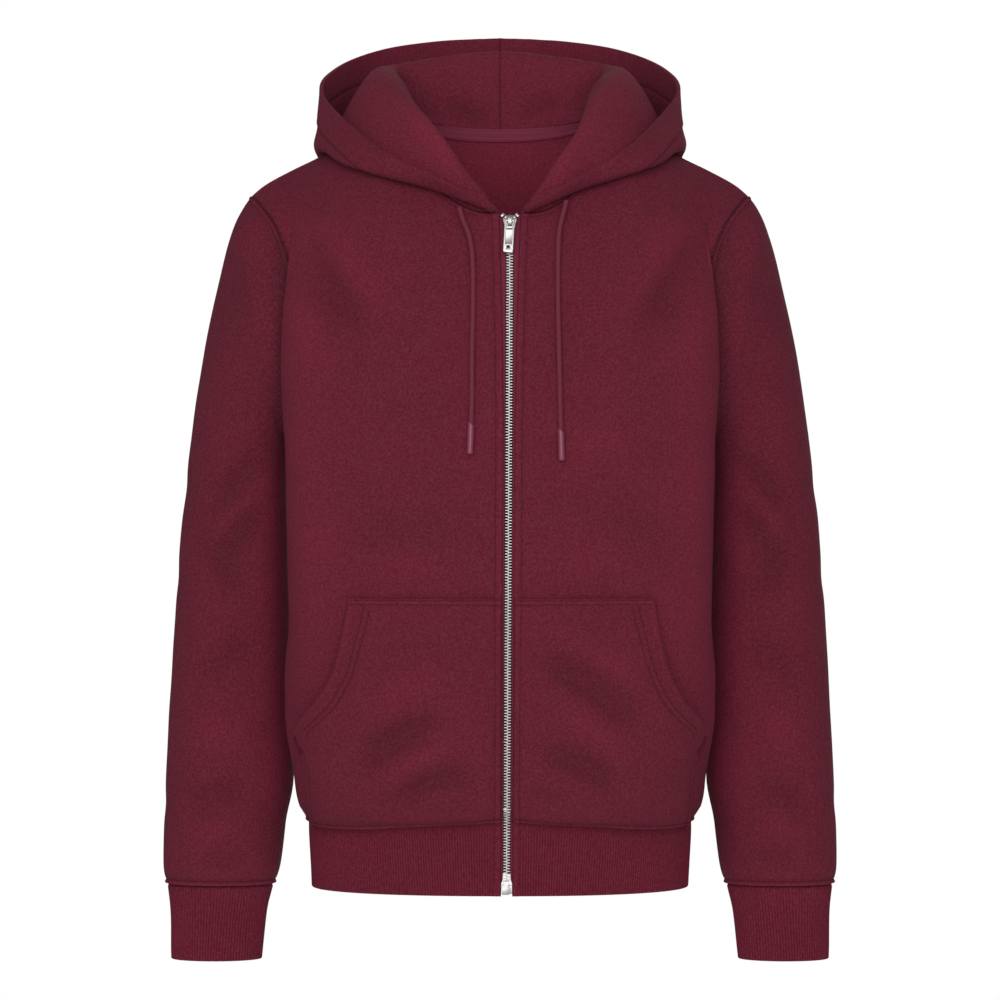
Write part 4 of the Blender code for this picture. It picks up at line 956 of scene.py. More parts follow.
# Heights at which the painted shade and highlight start to fade in or out, and over which they do
# so
ARMHOLE_FADE = (85.0, 25.0)  # downwards from the shoulder
UPPER_FADE = (340.0, 80.0)
SLEEVE_FADE = (640.0, 60.0)
BODY_FADE = (560.0, 120.0)
TURNED_FADE = (0.25, 0.4)  # how far the body's cloth has turned sideways


def side_shade(piece):
    """Painted shade on the sleeves beside the upper body, a painted highlight on them lower down
    and on the body's sides where they turn away.
    """
    height = piece.points[..., 2]

    def faded(values, fade):
        return ease((values + fade[0]) / fade[1])

    below = ease((-ARMHOLE_FADE[0] - height) / ARMHOLE_FADE[1])
    if piece.kind == "front":
        least, span = TURNED_FADE
        turned = ease((np.abs(piece.normals[..., 0]) - least) / span)
        return BODY_SIDE_HIGHLIGHT * turned * below * faded(height, BODY_FADE)
    if piece.kind != "sleeve":
        return 0.0
    upper = faded(height, UPPER_FADE)
    away = (np.abs(piece.points[..., 0]) - LEE_SIDE) / blend(*LEE_WIDTHS, upper)
    return blend(*LEE_SHADES, upper) * (below * faded(height, SLEEVE_FADE)) * np.exp(-away ** 2)


CALM_REACH = 14.0  # from a seam to where creases have their full depth


def calm(piece):
    """Keep creases off the edges, where pieces are sewn to each other."""
    share = 1.0
    for side in FOUR_SIDES:
        if piece.closed and side in ("start", "end") or side in FREE_SIDES.get(piece.kind, ()):
            continue
        flat = ZIP_FLAT if piece.kind == "front" and side == "start" else 0.0
        share = share * ease((piece.from_side(side) - flat) / CALM_REACH)
    return share


# Rib knit: the width of a rib, how far its crest stands over the valley, and how much the ribs
# lean between the band's upper and lower edge
RibKnit = namedtuple("RibKnit", "pitch relief lean")
RIBS = {"waistband": RibKnit(2.4, 0.75, 2.2), "cuff": RibKnit(2.55, 0.8, 1.6)}
RIB_SHAPE = (-0.5, 0.15, 0.5, 0.15)  # heights across one rib, as shares of the relief
RIB_INSIDE = 0.8
RibFade = namedtuple("RibFade", "least start reach")
RIB_AT_SEAM = RibFade(0.35, 0.0, 5.0)
RIB_AT_ZIP = RibFade(0.3, 3.0, 4.0)
LEAN_WAVES = 3
LEAN_CALM = 0.03  # share of the girth at each end over which the ribs stand upright
BAND_ROWS = 14


def outward(ring, closed, sense):
    """Level directions out of a ring."""
    if closed:
        run = np.roll(ring, -1, axis=0) - np.roll(ring, 1, axis=0)
    else:
        run = np.gradient(ring, axis=0)
    return unit(np.stack([run[:, 1], -run[:, 0], np.zeros(len(ring))], axis=1) * sense)


def inset_ring(ring, closed, sense):
    """A seam ring moved in and down to where the band under it begins."""
    return ring - outward(ring, closed, sense) * BAND_INSET - np.array([0.0, 0.0, SEAM])


def ribbed_rows(rings, knit, closed):
    """Rings from one edge of a band to the other, with a few columns for every rib."""
    if closed:
        rings = [np.concatenate([ring, ring[:1]]) for ring in rings]
    girth = lengths_along(rings[-1])[-1]
    columns = int(round(girth / knit.pitch)) * len(RIB_SHAPE)
    even = np.array([even_points(ring, columns) for ring in rings])
    keys = list(lengths_along(even).mean(axis=1))
    rows = []
    for place in np.linspace(0.0, keys[-1], BAND_ROWS):
        ring = smooth_read(keys, even, place)
        lengths = lengths_along(ring)
        share = lengths / lengths[-1]
        held = 1.0 if closed else ease(np.minimum(share, 1.0 - share) / LEAN_CALM)
        wave = np.sin(2 * math.pi * LEAN_WAVES * share)
        lean = knit.lean * wave * (place / keys[-1] - 0.5) * held
        rows.append(read_along(ring, lengths, lengths + lean))
    rows = np.array(rows)
    return rows[:, :-1] if closed else rows


def waistband_cloth(cloth):
    """Open band from the left edge of the zip round the back to its right edge."""
    left, back, right = (cloth[name].points[0] for name in ("front_left", "back", "front_right"))
    top = inset_ring(np.concatenate([left, back[1:-1], right[::-1]]), False, 1)
    front, behind = section_columns(WAISTBAND_EDGE)
    half = np.concatenate([front, behind[1:]])
    bottom = np.concatenate([placed(half, 1), placed(half[:-1], -1)[::-1]])
    rows = ribbed_rows([bottom, top], RIBS["waistband"], False)
    return Cloth("waistband", rows, 1, even=True)


def cuff_cloth(name, sleeve, side):
    """A tube of rib knit below a sleeve."""
    seam = sleeve.points[-1]
    rings = [inset_ring(seam, True, -side)]
    rings += [placed(sleeve_ring(row, len(seam)), side) for row in CUFF]
    rows = ribbed_rows(rings, RIBS["cuff"], True)
    return Cloth(name, rows, side, closed=True)


def raise_ribs(piece):
    """Raise the ribs on both faces, lower where they run into a seam or the zip."""
    knit = RIBS[piece.kind]
    shape = np.resize(RIB_SHAPE, piece.points.shape[1]) * knit.relief
    sides = [(("top" if piece.kind == "waistband" else "bottom",), RIB_AT_SEAM)]
    if not piece.closed:
        sides.append((("start", "end"), RIB_AT_ZIP))
    fade = 1.0
    for names, (least, start, reach) in sides:
        near = np.min([piece.from_side(name) for name in names], axis=0)
        fade = fade * blend(least, 1.0, ease((near - start) / reach))
    piece.face += shape * fade
    piece.inside += shape * fade * RIB_INSIDE
    # the ribs' heights, for painted shade in their valleys and a painted highlight on their crests
    piece.crest = 0.5 + shape * fade / knit.relief


def neck_tape_cloth(back):
    """Tape over the seam of hood and back, on the inside of the back."""
    inner = back.inner()
    drops = np.linspace(0.0, NECK_TAPE_DEPTH, NECK_TAPE_ROWS)
    columns = []
    for column in np.flatnonzero(np.abs(inner[-1, :, 0]) < NECK_TAPE_HALF):
        line, ways = inner[::-1, column], back.normals[::-1, column]
        lengths = lengths_along(line)
        way = unit(read_along(ways, lengths, drops))
        tape = read_along(line, lengths, drops) - way * (NECK_TAPE_GAP + TAPE)
        tape[0] += unit(tape[0] - tape[1]) * NECK_TAPE_LAP
        columns.append(tape)
    return Cloth("neck_tape", np.array(columns).transpose(1, 0, 2), 1, kind="tape")


def pocket_cloth(name, front, side):
    """A patch on the front: its outer face, from its table and the front's points."""
    rows = front_rows()
    table = [row.row for row in POCKET]
    values = np.array(POCKET)[:, 1:]
    based = placed(front, side)
    normals = grid_normals(based, side, False)
    row_count, column_count = POCKET_GRID
    share = np.linspace(0.0, 1.0, column_count)
    grid = []
    for place in np.linspace(table[0], table[-1], row_count):
        width, middle, edge = smooth_read(table, values, place)
        index = np.interp(place, rows, np.arange(len(rows)))
        low = min(int(index), len(front) - 2)
        line, base, normal = (blend(lines[low], lines[low + 1], index - low)
                              for lines in (front, based, normals))
        girth = lengths_along(line)
        at = blend(POCKET_MARGIN, width, share)
        puff = middle * np.sin(math.pi * share) ** POCKET_SWELL + edge * ease(share)
        ways = unit(read_along(normal, girth, at))
        grid.append(read_along(base, girth, at) + ways * (POCKET_GAP + puff + FLEECE)[:, None])
    return Cloth(name, np.array(grid), side, slanted=True)


def front_rows():
    """For each row of the fine front, its place in rows of the cut."""
    body = np.arange(0, 7 * 2 * FINE + 1) / (2 * FINE)
    return np.concatenate([body, 7 + np.arange(1, ARMHOLE_ROWS + 1) / FINE])


# ------------ where zip and cords run

TAPE_INNER = 3.3
TAPE_OUTER = 15.0
TAPE_TOP = -90.5
TAPE_COLUMNS = 12
TAPE_CUT = 0.7  # over the box, the tapes' inner edges step towards the teeth
TAPE_CUT_HALF = 0.3
TAPE_START = 6.0  # rows of points from here on, so far apart
TAPE_STEP = 5.0
TAPE_GAP = 0.5  # between the tapes and the inside of the cloth over them
BOX_TOP = -682.5
BOX_BOTTOM = -694.5
BOX_HALF_WIDTH = 4.4
SLIDER_Z = -101.0
CHAIN_DROP = 8.0  # from the slider's middle down to the closed chain
STOP_ACROSS = 6.5
STOP_Z = -94.4
TAB_AXIS_OUT = 6.3
TAB_SWING = math.radians(3.0)
TAB_LEAN = math.radians(3.0)

ZipPlace = namedtuple("ZipPlace", "middle across up out")
PLACE_REACH = 2.0  # its direction is taken from so far below to so far above

CORD_RADIUS = 2.3
CORD_SIDES = 24
CORD_STEP = 0.55
BRAID_RELIEF = 0.13
BRAID_STRANDS = 6
BRAID_MEAN = 0.6  # height of the waves at which the relief is nought
BRAID_LAY = 6.6  # length of one turn of a strand over its repeat
TIP_RADIUS = 3.0
TIP_SIDES = 28
# A tip's rings: how far past the cord's end, their share of its radius and how far they slant
TipRing = namedtuple("TipRing", "along share slant", defaults=(0.0,))
TIP_RINGS = (
    TipRing(-2.4, 0.80, 1.5), TipRing(-2.2, 0.9, 1.5), TipRing(-1.8, 0.96, 1.5),
    TipRing(0.0, 0.99, 1.0), TipRing(6.0, 1.0), TipRing(12.0, 0.97), TipRing(18.0, 0.98),
    TipRing(22.6, 1.0), TipRing(23.8, 0.93), TipRing(24.3, 0.75), TipRing(24.5, 0.4),
)
CORDS = {
    "right": ((-36, -105.5, -87.5), (-33, -107, -98), (-27.5, -110.5, -112),
              (-24.5, -115, -130), (-23.7, -125.5, -170.3), (-24.5, -135.2, -214.6),
              (-24.6, -140.9, -258.6), (-25.4, -142.3, -281.6)),
    "left": ((58.5, -101.5, -81.5), (56, -104, -92), (52.5, -108.5, -107),
             (51.2, -114, -128), (50.9, -125.8, -170.4), (51.7, -135, -214.6),
             (52.5, -140.5, -258.6), (53.2, -142, -287.3)),
}


@lru_cache(maxsize=1)
def zip_path(depth):
    """Middle of the zip from the foot of the waistband up to the neck."""
    cloth = all_cloth(depth)
    band, left, right = (cloth[name] for name in ("waistband", "front_left", "front_right"))
    low = (band.points[:, 0] + band.points[:, -1]) / 2
    low[:, 1] += RIB_WALL + TAPE_GAP + TAPE / 2
    normal = left.normals[:, 2] + right.normals[:, 2]
    normal[:, 0] = 0.0
    normal = unit(normal)
    high = (left.points[:, 0] + right.points[:, 0]) / 2
    high -= normal * (FLEECE + TAPE_GAP + TAPE / 2)
    high[0] -= normal[0] * BAND_INSET
    return np.concatenate([low, high])


def zip_place(path, z):
    """A place of the zip at a height, with its directions across, up and out."""
    heights = path[:, 2]
    low, middle, high = (Vector(read_along(path, heights, [z + step])[0])
                         for step in (-PLACE_REACH, 0.0, PLACE_REACH))
    if (high - low).length < PLACE_REACH / 2:
        index = int(np.clip(np.searchsorted(heights, z) - 1, 0, len(path) - 2))
        low, high = Vector(path[index]), Vector(path[index + 1])
    up = (high - low).normalized()
    out = Vector((1.0, 0.0, 0.0)).cross(up).normalized()
    return ZipPlace(middle, up.cross(out), up, out)


def place_matrix(place):
    """From a piece's own millimetres (across, up, out) to its place in metres."""
    turn = Matrix((place.across, place.up, place.out)).transposed().to_4x4()
    return Matrix.Scale(MM, 4) @ Matrix.Translation(place.middle) @ turn


def zip_tape_cloth(word, side, path):
    """One woven tape of the zip, beaded along its inner edge and cut back beside the box."""
    shoulder = BOX_TOP + TAPE_CUT
    heights = [BOX_BOTTOM, shoulder - TAPE_CUT_HALF, shoulder + TAPE_CUT_HALF]
    heights += list(np.arange(BOX_TOP + TAPE_START, TAPE_TOP, TAPE_STEP)) + [TAPE_TOP]
    rows = []
    for z in heights:
        inner = BOX_HALF_WIDTH + SEAM if z < shoulder else TAPE_INNER
        place = zip_place(path, z)
        across = np.linspace(inner, TAPE_OUTER, TAPE_COLUMNS)[:, None] * side
        rows.append(np.array(place.middle) + across * np.array([1.0, 0.0, 0.0])
                    + np.array(place.out) * TAPE / 2)
    piece = Cloth("zip_tape_" + word, np.array(rows), side, kind="zip")
    piece.sew()
    return piece


def sweep(path, radii, sides, lift=None, slants=None):
    """Points, faces and measures (round, along) of a tube with closed ends, in millimetres."""
    run = unit(np.gradient(path, axis=0))
    aside = unit(np.cross(np.array([0.0, -1.0, 0.0]), run))
    front = np.cross(run, aside)
    lengths = lengths_along(path)
    turn = 2 * math.pi * np.arange(sides) / sides
    size = np.asarray(radii)[:, None] * np.ones(sides)
    if lift is not None:
        size = size + lift(turn[None, :], lengths[:, None])
    rings = (path[:, None] + aside[:, None] * (size * np.cos(turn))[..., None]
             + front[:, None] * (size * np.sin(turn))[..., None])
    if slants is not None:
        rings += run[:, None] * (np.asarray(slants)[:, None] * np.cos(turn))[..., None]
    count = len(path) * sides
    numbers = np.arange(count).reshape(len(path), sides)
    numbers = np.concatenate([numbers, numbers[:, :1]], axis=1)
    quads = np.stack([numbers[:-1, :-1], numbers[:-1, 1:], numbers[1:, 1:], numbers[1:, :-1]],
                     axis=-1).reshape(-1, 4)
    faces = quads.tolist()
    faces.append(numbers[0, -2::-1].tolist())
    faces.append(numbers[-1, :-1].tolist())
    return rings.reshape(-1, 3), faces, lengths


def tube_object(name, path, radii, sides, material, lift=None, slants=None):
    """A tube with a UV map "cord" in metres round and along it."""
    points, faces, lengths = sweep(path, radii, sides, lift, slants)
    obj = new_mesh_object(name, points, faces, [material], 60.0)
    round_step = 2 * math.pi * max(radii) / sides
    layer = obj.data.uv_layers.new(name="cord")
    for polygon in obj.data.polygons:
        across = [obj.data.loops[at].vertex_index % sides for at in polygon.loop_indices]
        wrap = max(across) - min(across) > sides / 2
        for at, column in zip(polygon.loop_indices, across):
            ring = obj.data.loops[at].vertex_index // sides
            column += sides if wrap and column == 0 else 0
            layer.data[at].uv = (column * round_step * MM, lengths[ring] * MM)
    return obj


def braid(turn, length):
    """Relief of a round braid: strands laid both ways, over and under each other."""
    wave = 2 * math.pi * length / BRAID_LAY
    one = np.cos(BRAID_STRANDS * turn + wave * 2)
    other = np.cos(BRAID_STRANDS * turn - wave * 2)
    return BRAID_RELIEF * (np.maximum(one, other) - BRAID_MEAN)


# ------------ stitches

STITCH_PITCH = 3.2
STITCH_HALF = 1.25
STITCH_RADIUS = 0.25
# Rings of one stitch: how far along, its radius's share and its height over the cloth
STITCH_RINGS = ((-1.0, 0.0, -0.22), (-0.72, 0.85, 0.0), (0.0, 1.0, 0.14), (0.72, 0.85, 0.0),
                (1.0, 0.0, -0.22))
STITCH_SIDES = 6


def stitch_shape(half=STITCH_HALF, radius=STITCH_RADIUS):
    """One stitch along x, out of the cloth along z: its points and its faces."""
    points, faces = [], []
    for along, share, height in STITCH_RINGS:
        sides = STITCH_SIDES if share else 1
        for side in range(sides):
            turn = 2 * math.pi * side / sides
            points.append((along * half, math.cos(turn) * radius * share,
                           math.sin(turn) * radius * share + height))
    last = len(points) - 1
    for ring in range(len(STITCH_RINGS) - 3):
        first = 1 + ring * STITCH_SIDES
        for side in range(STITCH_SIDES):
            beside = (side + 1) % STITCH_SIDES
            faces.append((first + side, first + beside, first + STITCH_SIDES + beside,
                          first + STITCH_SIDES + side))
    top = last - STITCH_SIDES
    for side in range(STITCH_SIDES):
        beside = (side + 1) % STITCH_SIDES
        faces.append((0, 1 + beside, 1 + side))
        faces.append((last, top + side, top + beside))
    return np.array(points), faces


def stitch_places(path):
    """Evenly spaced places along a row: middle, run, way to the side and way out."""
    points, normals = np.array(path).transpose(1, 0, 2)
    lengths = lengths_along(points)
    count = int(lengths[-1] / STITCH_PITCH)
    if count < 1:
        return []
    middles = (np.arange(count) + 0.5) * lengths[-1] / count
    before = read_along(points, lengths, middles - STITCH_HALF)
    after = read_along(points, lengths, middles + STITCH_HALF)
    run = unit(after - before)
    side = unit(np.cross(read_along(normals, lengths, middles), run))
    return list(zip((before + after) / 2, run, side, np.cross(run, side)))


def copies(shape, places):
    """Copies of a shape at places, as one mesh's points and faces."""
    points, faces = shape
    all_points = [middle + points @ np.array([run, side, out]) for middle, run, side, out in places]
    all_faces = []
    for number in range(len(places)):
        shift = number * len(points)
        all_faces += [tuple(at + shift for at in face) for face in faces]
    return np.concatenate(all_points), all_faces


TACK_LINE = Line("end", 4.4, -573, -555)
TACK_PITCH = 0.62
TACK_HALF = 2.1
TACK_RADIUS = 0.34
TACK_LIFT = 0.25


def bar_tack(piece):
    """Places of the close stitches that close the lower end of a pocket's opening."""
    points, normals = np.array(piece.line_path(TACK_LINE)).transpose(1, 0, 2)
    lengths = lengths_along(points)
    middles = np.arange(0.0, lengths[-1], TACK_PITCH)
    out = read_along(normals, lengths, middles)
    run = unit(read_along(np.gradient(points, axis=0), lengths, middles))
    side = unit(np.cross(out, run))
    places = read_along(points, lengths, middles) + out * TACK_LIFT
    return list(zip(places, side, -run, np.cross(side, -run)))


# ------------ meshes

def metres(points):
    return np.asarray(points) * MM


def new_mesh_object(name, points, faces, materials, smooth=50.0):
    mesh = bpy.data.meshes.new(name)
    mesh.from_pydata(metres(points).tolist(), [], faces)
    for material in materials:
        mesh.materials.append(material)
    mesh.shade_smooth()
    mesh.set_sharp_from_angle(angle=math.radians(smooth))
    obj = bpy.data.objects.new(name, mesh)
    bpy.context.scene.collection.objects.link(obj)
    return obj


SEAM_SHARE = 0.4  # how much of a seam's painted shade shows on the inner face
FOLD_SHARES = (0.5, 0.6)  # the same of a fold's, on the outer and the inner face


def shell_object(piece, face_material, inside_material):
    """A closed wall between a piece's outer and inner face."""
    rows, columns = piece.points.shape[:2]
    count = rows * columns
    numbers = np.arange(count).reshape(rows, columns)
    measures = [np.stack([piece.across[:, :columns], piece.up], axis=-1)]
    if piece.closed:
        numbers = np.concatenate([numbers, numbers[:, :1]], axis=1)
        last = np.stack([piece.across[:, -1], piece.up[:, 0]], axis=-1)
        measures.append(last[:, None])
    measures = np.concatenate(measures, axis=1)
    corners = [(slice(0, -1), slice(0, -1)), (slice(0, -1), slice(1, None)),
               (slice(1, None), slice(1, None)), (slice(1, None), slice(0, -1))]
    quads = np.stack([numbers[at] for at in corners], axis=-1).reshape(-1, 4)
    maps = np.stack([measures[at] for at in corners], axis=-2).reshape(-1, 4, 2)
    loops = edge_loops(numbers, measures, piece.closed)
    sides, side_maps = [], []
    for ring, measured in loops:
        sides.append(np.stack([ring[1:], ring[:-1], ring[:-1] + count, ring[1:] + count], axis=-1))
        pair = [measured[1:], measured[:-1], measured[:-1], measured[1:]]
        side_maps.append(np.stack(pair, axis=1))
    faces = np.concatenate([quads, quads[:, ::-1] + count] + sides)
    maps = np.concatenate([maps, maps[:, ::-1]] + side_maps)
    if piece.sense < 0:
        faces, maps = faces[:, ::-1], maps[:, ::-1]
    points = np.concatenate([piece.outer().reshape(-1, 3), piece.inner().reshape(-1, 3)])
    obj = new_mesh_object(piece.name + "_shell", points, faces.tolist(),
                          [face_material, inside_material], 70.0)
    which = np.zeros(len(faces), np.int32)
    which[len(quads):2 * len(quads)] = 1
    obj.data.polygons.foreach_set("material_index", which)
    layer = obj.data.uv_layers.new(name="cloth")
    layer.data.foreach_set("uv", (maps * MM).astype(np.float32).ravel())
    # painted shade and highlight: a fold that stands out on one face is sunk on the other, so its
    # painted shading turns over
    shades = [piece.hollow - FOLD_SHARES[0] * piece.fold,
              piece.hollow * SEAM_SHARE + FOLD_SHARES[1] * piece.fold]
    for name, pair in (("hollow", shades), ("crest", [piece.crest] * 2)):
        if pair[0] is not None:
            attribute = obj.data.attributes.new(name, "FLOAT", "POINT")
            both = np.concatenate([values.ravel() for values in pair])
            attribute.data.foreach_set("value", both.astype(np.float32))
    return obj


def cloth_object(piece, face_material, inside_material):
    """A piece of cloth in its place."""
    obj = shell_object(piece, face_material, inside_material)
    finish_piece(obj, "garment", piece.name + "_cloth", piece.name)
    return obj


def edge_loops(numbers, measures, closed):
    """The open edges of a grid, each run so that its faces lie on its left."""
    if closed:
        return [(numbers[0], measures[0]), (numbers[-1][::-1], measures[-1][::-1])]
    ring = [numbers[0], numbers[1:, -1], numbers[-1, -2::-1], numbers[-2::-1, 0]]
    measured = [measures[0], measures[1:, -1], measures[-1, -2::-1], measures[-2::-1, 0]]
    return [(np.concatenate(ring), np.concatenate(measured))]


def finish_piece(obj, body, slot, *nodes):
    """Put a piece on its body in place of its solids; its slot is not used."""
    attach(obj, body)
    if nodes:
        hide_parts(*nodes)
    return obj


# ------------ modelling by hand

BEVEL_ANGLE = math.radians(50.0)
METAL_ANGLE = math.radians(40.0)    # the sharpest bend of the metal that is shaded smooth


def only(obj):
    """Select one object alone and make it the active one."""
    bpy.ops.object.select_all(action="DESELECT")
    obj.select_set(True)
    bpy.context.view_layer.objects.active = obj


def plate(name, outline, low, high):
    """A plate with an outline in x and y, drawn out along z; all in millimetres."""
    bpy.ops.object.select_all(action="DESELECT")
    bpy.ops.mesh.primitive_circle_add(vertices=len(outline), radius=1.0, fill_type="NGON")
    obj = bpy.context.object
    obj.name = name
    for vertex, (x, y) in zip(obj.data.vertices, outline):
        vertex.co = (x, y, low)
    bpy.ops.object.mode_set(mode="EDIT")
    bpy.ops.mesh.select_all(action="SELECT")
    bpy.ops.mesh.extrude_region_move(TRANSFORM_OT_translate={"value": (0.0, 0.0, high - low)})
    bpy.ops.mesh.select_all(action="SELECT")
    bpy.ops.mesh.normals_make_consistent(inside=False)
    bpy.ops.object.mode_set(mode="OBJECT")
    return obj


def rod(name, radius, length, centre, sides):
    """A round rod along z, in millimetres."""
    bpy.ops.object.select_all(action="DESELECT")
    bpy.ops.mesh.primitive_cylinder_add(vertices=sides, radius=radius, depth=length,
                                        location=centre)
    obj = bpy.context.object
    obj.name = name
    bpy.ops.object.transform_apply()
    return obj


def apply_modifier(obj, kind, **settings):
    only(obj)
    modifier = obj.modifiers.new(kind.lower(), kind)
    for name, value in settings.items():
        setattr(modifier, name, value)
    bpy.ops.object.modifier_apply(modifier=modifier.name)
    return obj


def joined(obj, other, operation="UNION"):
    """Add another solid to this one, or cut it out."""
    apply_modifier(obj, "BOOLEAN", object=other, operation=operation, solver="EXACT")
    bpy.data.objects.remove(other)
    return obj


def rounded(obj, width, segments=3):
    """Round the edges where two faces meet at more than a set angle."""
    return apply_modifier(obj, "BEVEL", width=width, segments=segments, limit_method="ANGLE",
                          angle_limit=BEVEL_ANGLE, harden_normals=False)


def set_in_place(obj, matrix, material, body, slot, *nodes):
    """Move a piece's mesh from its own millimetres to its place, and finish it."""
    obj.data.transform(matrix)
    obj.data.materials.clear()
    obj.data.materials.append(material)
    only(obj)
    bpy.ops.object.shade_smooth_by_angle(angle=METAL_ANGLE)
    return finish_piece(obj, body, slot, *nodes)


def rounded_outline(outline, radius, steps=3):
    """An outline with its corners rounded."""
    points = []
    corners = [Vector(corner) for corner in outline]
    for number, corner in enumerate(corners):
        before = (corners[number - 1] - corner).normalized()
        after = (corners[(number + 1) % len(corners)] - corner).normalized()
        for step in range(steps + 1):
            share = step / steps
            first, last = corner + before * radius, corner + after * radius
            bend = (first * (1 - share) ** 2 + corner * 2 * share * (1 - share) + last * share ** 2)
            points.append(tuple(bend))
    return points


# ------------ the zip's metal

TOOTH_PITCH = 2.54
# A tooth seen from the front: its clamp on the tape, its waist and its head past the middle
TOOTH_OUTLINE = ((3.05, -0.42), (3.05, 0.42), (1.5, 0.46), (1.1, 0.38), (0.5, 0.38), (0.2, 0.46),
                 (-0.7, 0.38), (-0.7, -0.38), (0.2, -0.46), (0.5, -0.38), (1.1, -0.38),
                 (1.5, -0.46))
TOOTH_HALF_DEPTH = 0.95
SLIDER_FRONT = ((-4.6, -7.0), (4.6, -7.0), (5.2, -2.4), (6.1, 0.4), (6.0, 3.2), (4.5, 5.4),
                (-4.5, 5.4), (-6.0, 3.2), (-6.1, 0.4), (-5.2, -2.4))
SLIDER_FRONT_OUT = (3.4, 4.8)
SLIDER_BACK_OUT = (-3.4, -1.9)
SLIDER_BACK_SHARE = 0.92
SLIDER_WALL = 0.4  # how deep its parts sit in each other
FLANGE_ACROSS = (3.5, 4.6)
FLANGE_UP = (-6.6, 1.0)
FLANGE_LIP = 0.9
POST_HALF_WIDTH = 1.2
POST_UP = (3.2, 6.2)
POST_OUT = (-2.2, 3.8)
DIMPLE_RADIUS = 2.2
DIMPLE_PLACE = (3.9, 3.0, 6.3)
BRIDGE_OUTLINE = ((-5.2, 4.4), (-4.6, 7.0), (-3.2, 8.5), (-1.0, 8.9), (1.4, 8.9), (3.4, 8.4),
                  (4.8, 7.0), (5.3, 4.4), (3.6, 4.4), (3.2, 6.6), (2.0, 7.5), (-2.0, 7.5),
                  (-3.0, 6.8), (-3.6, 4.4))
BRIDGE_HALF_WIDTH = 1.65
BRIDGE_SWELL = 1.42  # how much wider its upper half is, and where it gets so
BRIDGE_WAIST = -1.0
BRIDGE_SPREAD = 3.5
TAB_HALF_WIDTH = 4.4
TAB_LENGTH = 30.2
TAB_HALF_DEPTH = 0.75
TAB_HEAD = 0.9  # its upper end over the axis
TAB_TAPER = 0.15
TAB_WINDOW = ((-2.75, -8.3), (2.75, -1.0))
TAB_PANEL = ((-3.1, -22.2), (3.1, -10.6))
TAB_PANEL_DEPTH = 0.25
TAB_HOLE_RADIUS = 1.6
TAB_HOLE_UP = -25.0
CUT = 2.0  # half the length of what is cut out of the tab
STOP_SIZE = (2.6, 3.8, 1.9)
STOP_TURN = math.radians(38.0)
NUB_RADIUS = 0.95
NUB_DEPTH = 1.6
NUB_PLACE = (-1.5, -2.6, 0.6)  # the last from the face of the tape


def box_outline(low, high):
    """An upright oblong from its lower left to its upper right corner."""
    return (low, (high[0], low[1]), high, (low[0], high[1]))


def tooth():
    """One tooth of the zip with its head to the left: its points and its faces."""
    obj = plate("tooth", TOOTH_OUTLINE, -TOOTH_HALF_DEPTH, TOOTH_HALF_DEPTH)
    rounded(obj, 0.24, 1)
    points = np.array([vertex.co for vertex in obj.data.vertices])
    faces = [tuple(polygon.vertices) for polygon in obj.data.polygons]
    bpy.data.objects.remove(obj)
    return points, faces


def teeth_places(path, side, shift):
    """A place for each tooth of one side, up to the slider's mouth."""
    places = []
    for z in np.arange(BOX_TOP + 1.0 + shift, SLIDER_Z - CHAIN_DROP, TOOTH_PITCH):
        place = zip_place(path, z)
        across, up, out = (np.array(way) for way in place[1:])
        places.append((np.array(place.middle), across * side, up * side, out))
    return places


def slider_solid():
    """The slider's two plates, the post between them, its flanges and its bridge."""
    slider = plate("zip_slider_body", rounded_outline(SLIDER_FRONT, 0.7), *SLIDER_FRONT_OUT)
    back = [(x * SLIDER_BACK_SHARE, y) for x, y in SLIDER_FRONT]
    behind = plate("back", rounded_outline(back, 0.7), *SLIDER_BACK_OUT)
    for part in (slider, behind):
        rounded(part, 0.45)
    post = box_outline((-POST_HALF_WIDTH, POST_UP[0]), (POST_HALF_WIDTH, POST_UP[1]))
    parts = [behind, plate("post", post, *POST_OUT)]
    front, rear = SLIDER_FRONT_OUT[0], SLIDER_BACK_OUT[1]
    (inner, outer), (foot, top) = FLANGE_ACROSS, FLANGE_UP
    for side in (1, -1):
        outline = [(side * x, y) for x, y in box_outline((inner, foot), (outer, top))]
        parts.append(plate("flange", outline, front - FLANGE_LIP, front + SLIDER_WALL))
        parts.append(plate("flange", outline, rear - SLIDER_WALL, rear + FLANGE_LIP))
    for part in parts:
        joined(slider, part)
    x, y, z = DIMPLE_PLACE
    for side in (1, -1):
        bpy.ops.object.select_all(action="DESELECT")
        bpy.ops.mesh.primitive_uv_sphere_add(segments=20, ring_count=10, radius=DIMPLE_RADIUS,
                                             location=(side * x, y, z))
        joined(slider, bpy.context.object, "DIFFERENCE")
    return joined(slider, bridge_solid())


def bridge_solid():
    """The arch that holds the pull tab, wider in its upper half."""
    bridge = plate("bridge", rounded_outline(BRIDGE_OUTLINE, 0.45, 2), -BRIDGE_HALF_WIDTH,
                   BRIDGE_HALF_WIDTH)
    # the plate was drawn with up along x and out along y
    bridge.data.transform(Matrix(((0, 0, 1, 0), (1, 0, 0, 0), (0, 1, 0, 0), (0, 0, 0, 1))))
    for vertex in bridge.data.vertices:
        share = ease((vertex.co.y - BRIDGE_WAIST) / BRIDGE_SPREAD)
        vertex.co.x *= blend(1.0, BRIDGE_SWELL, float(share))
    return rounded(bridge, 0.5)


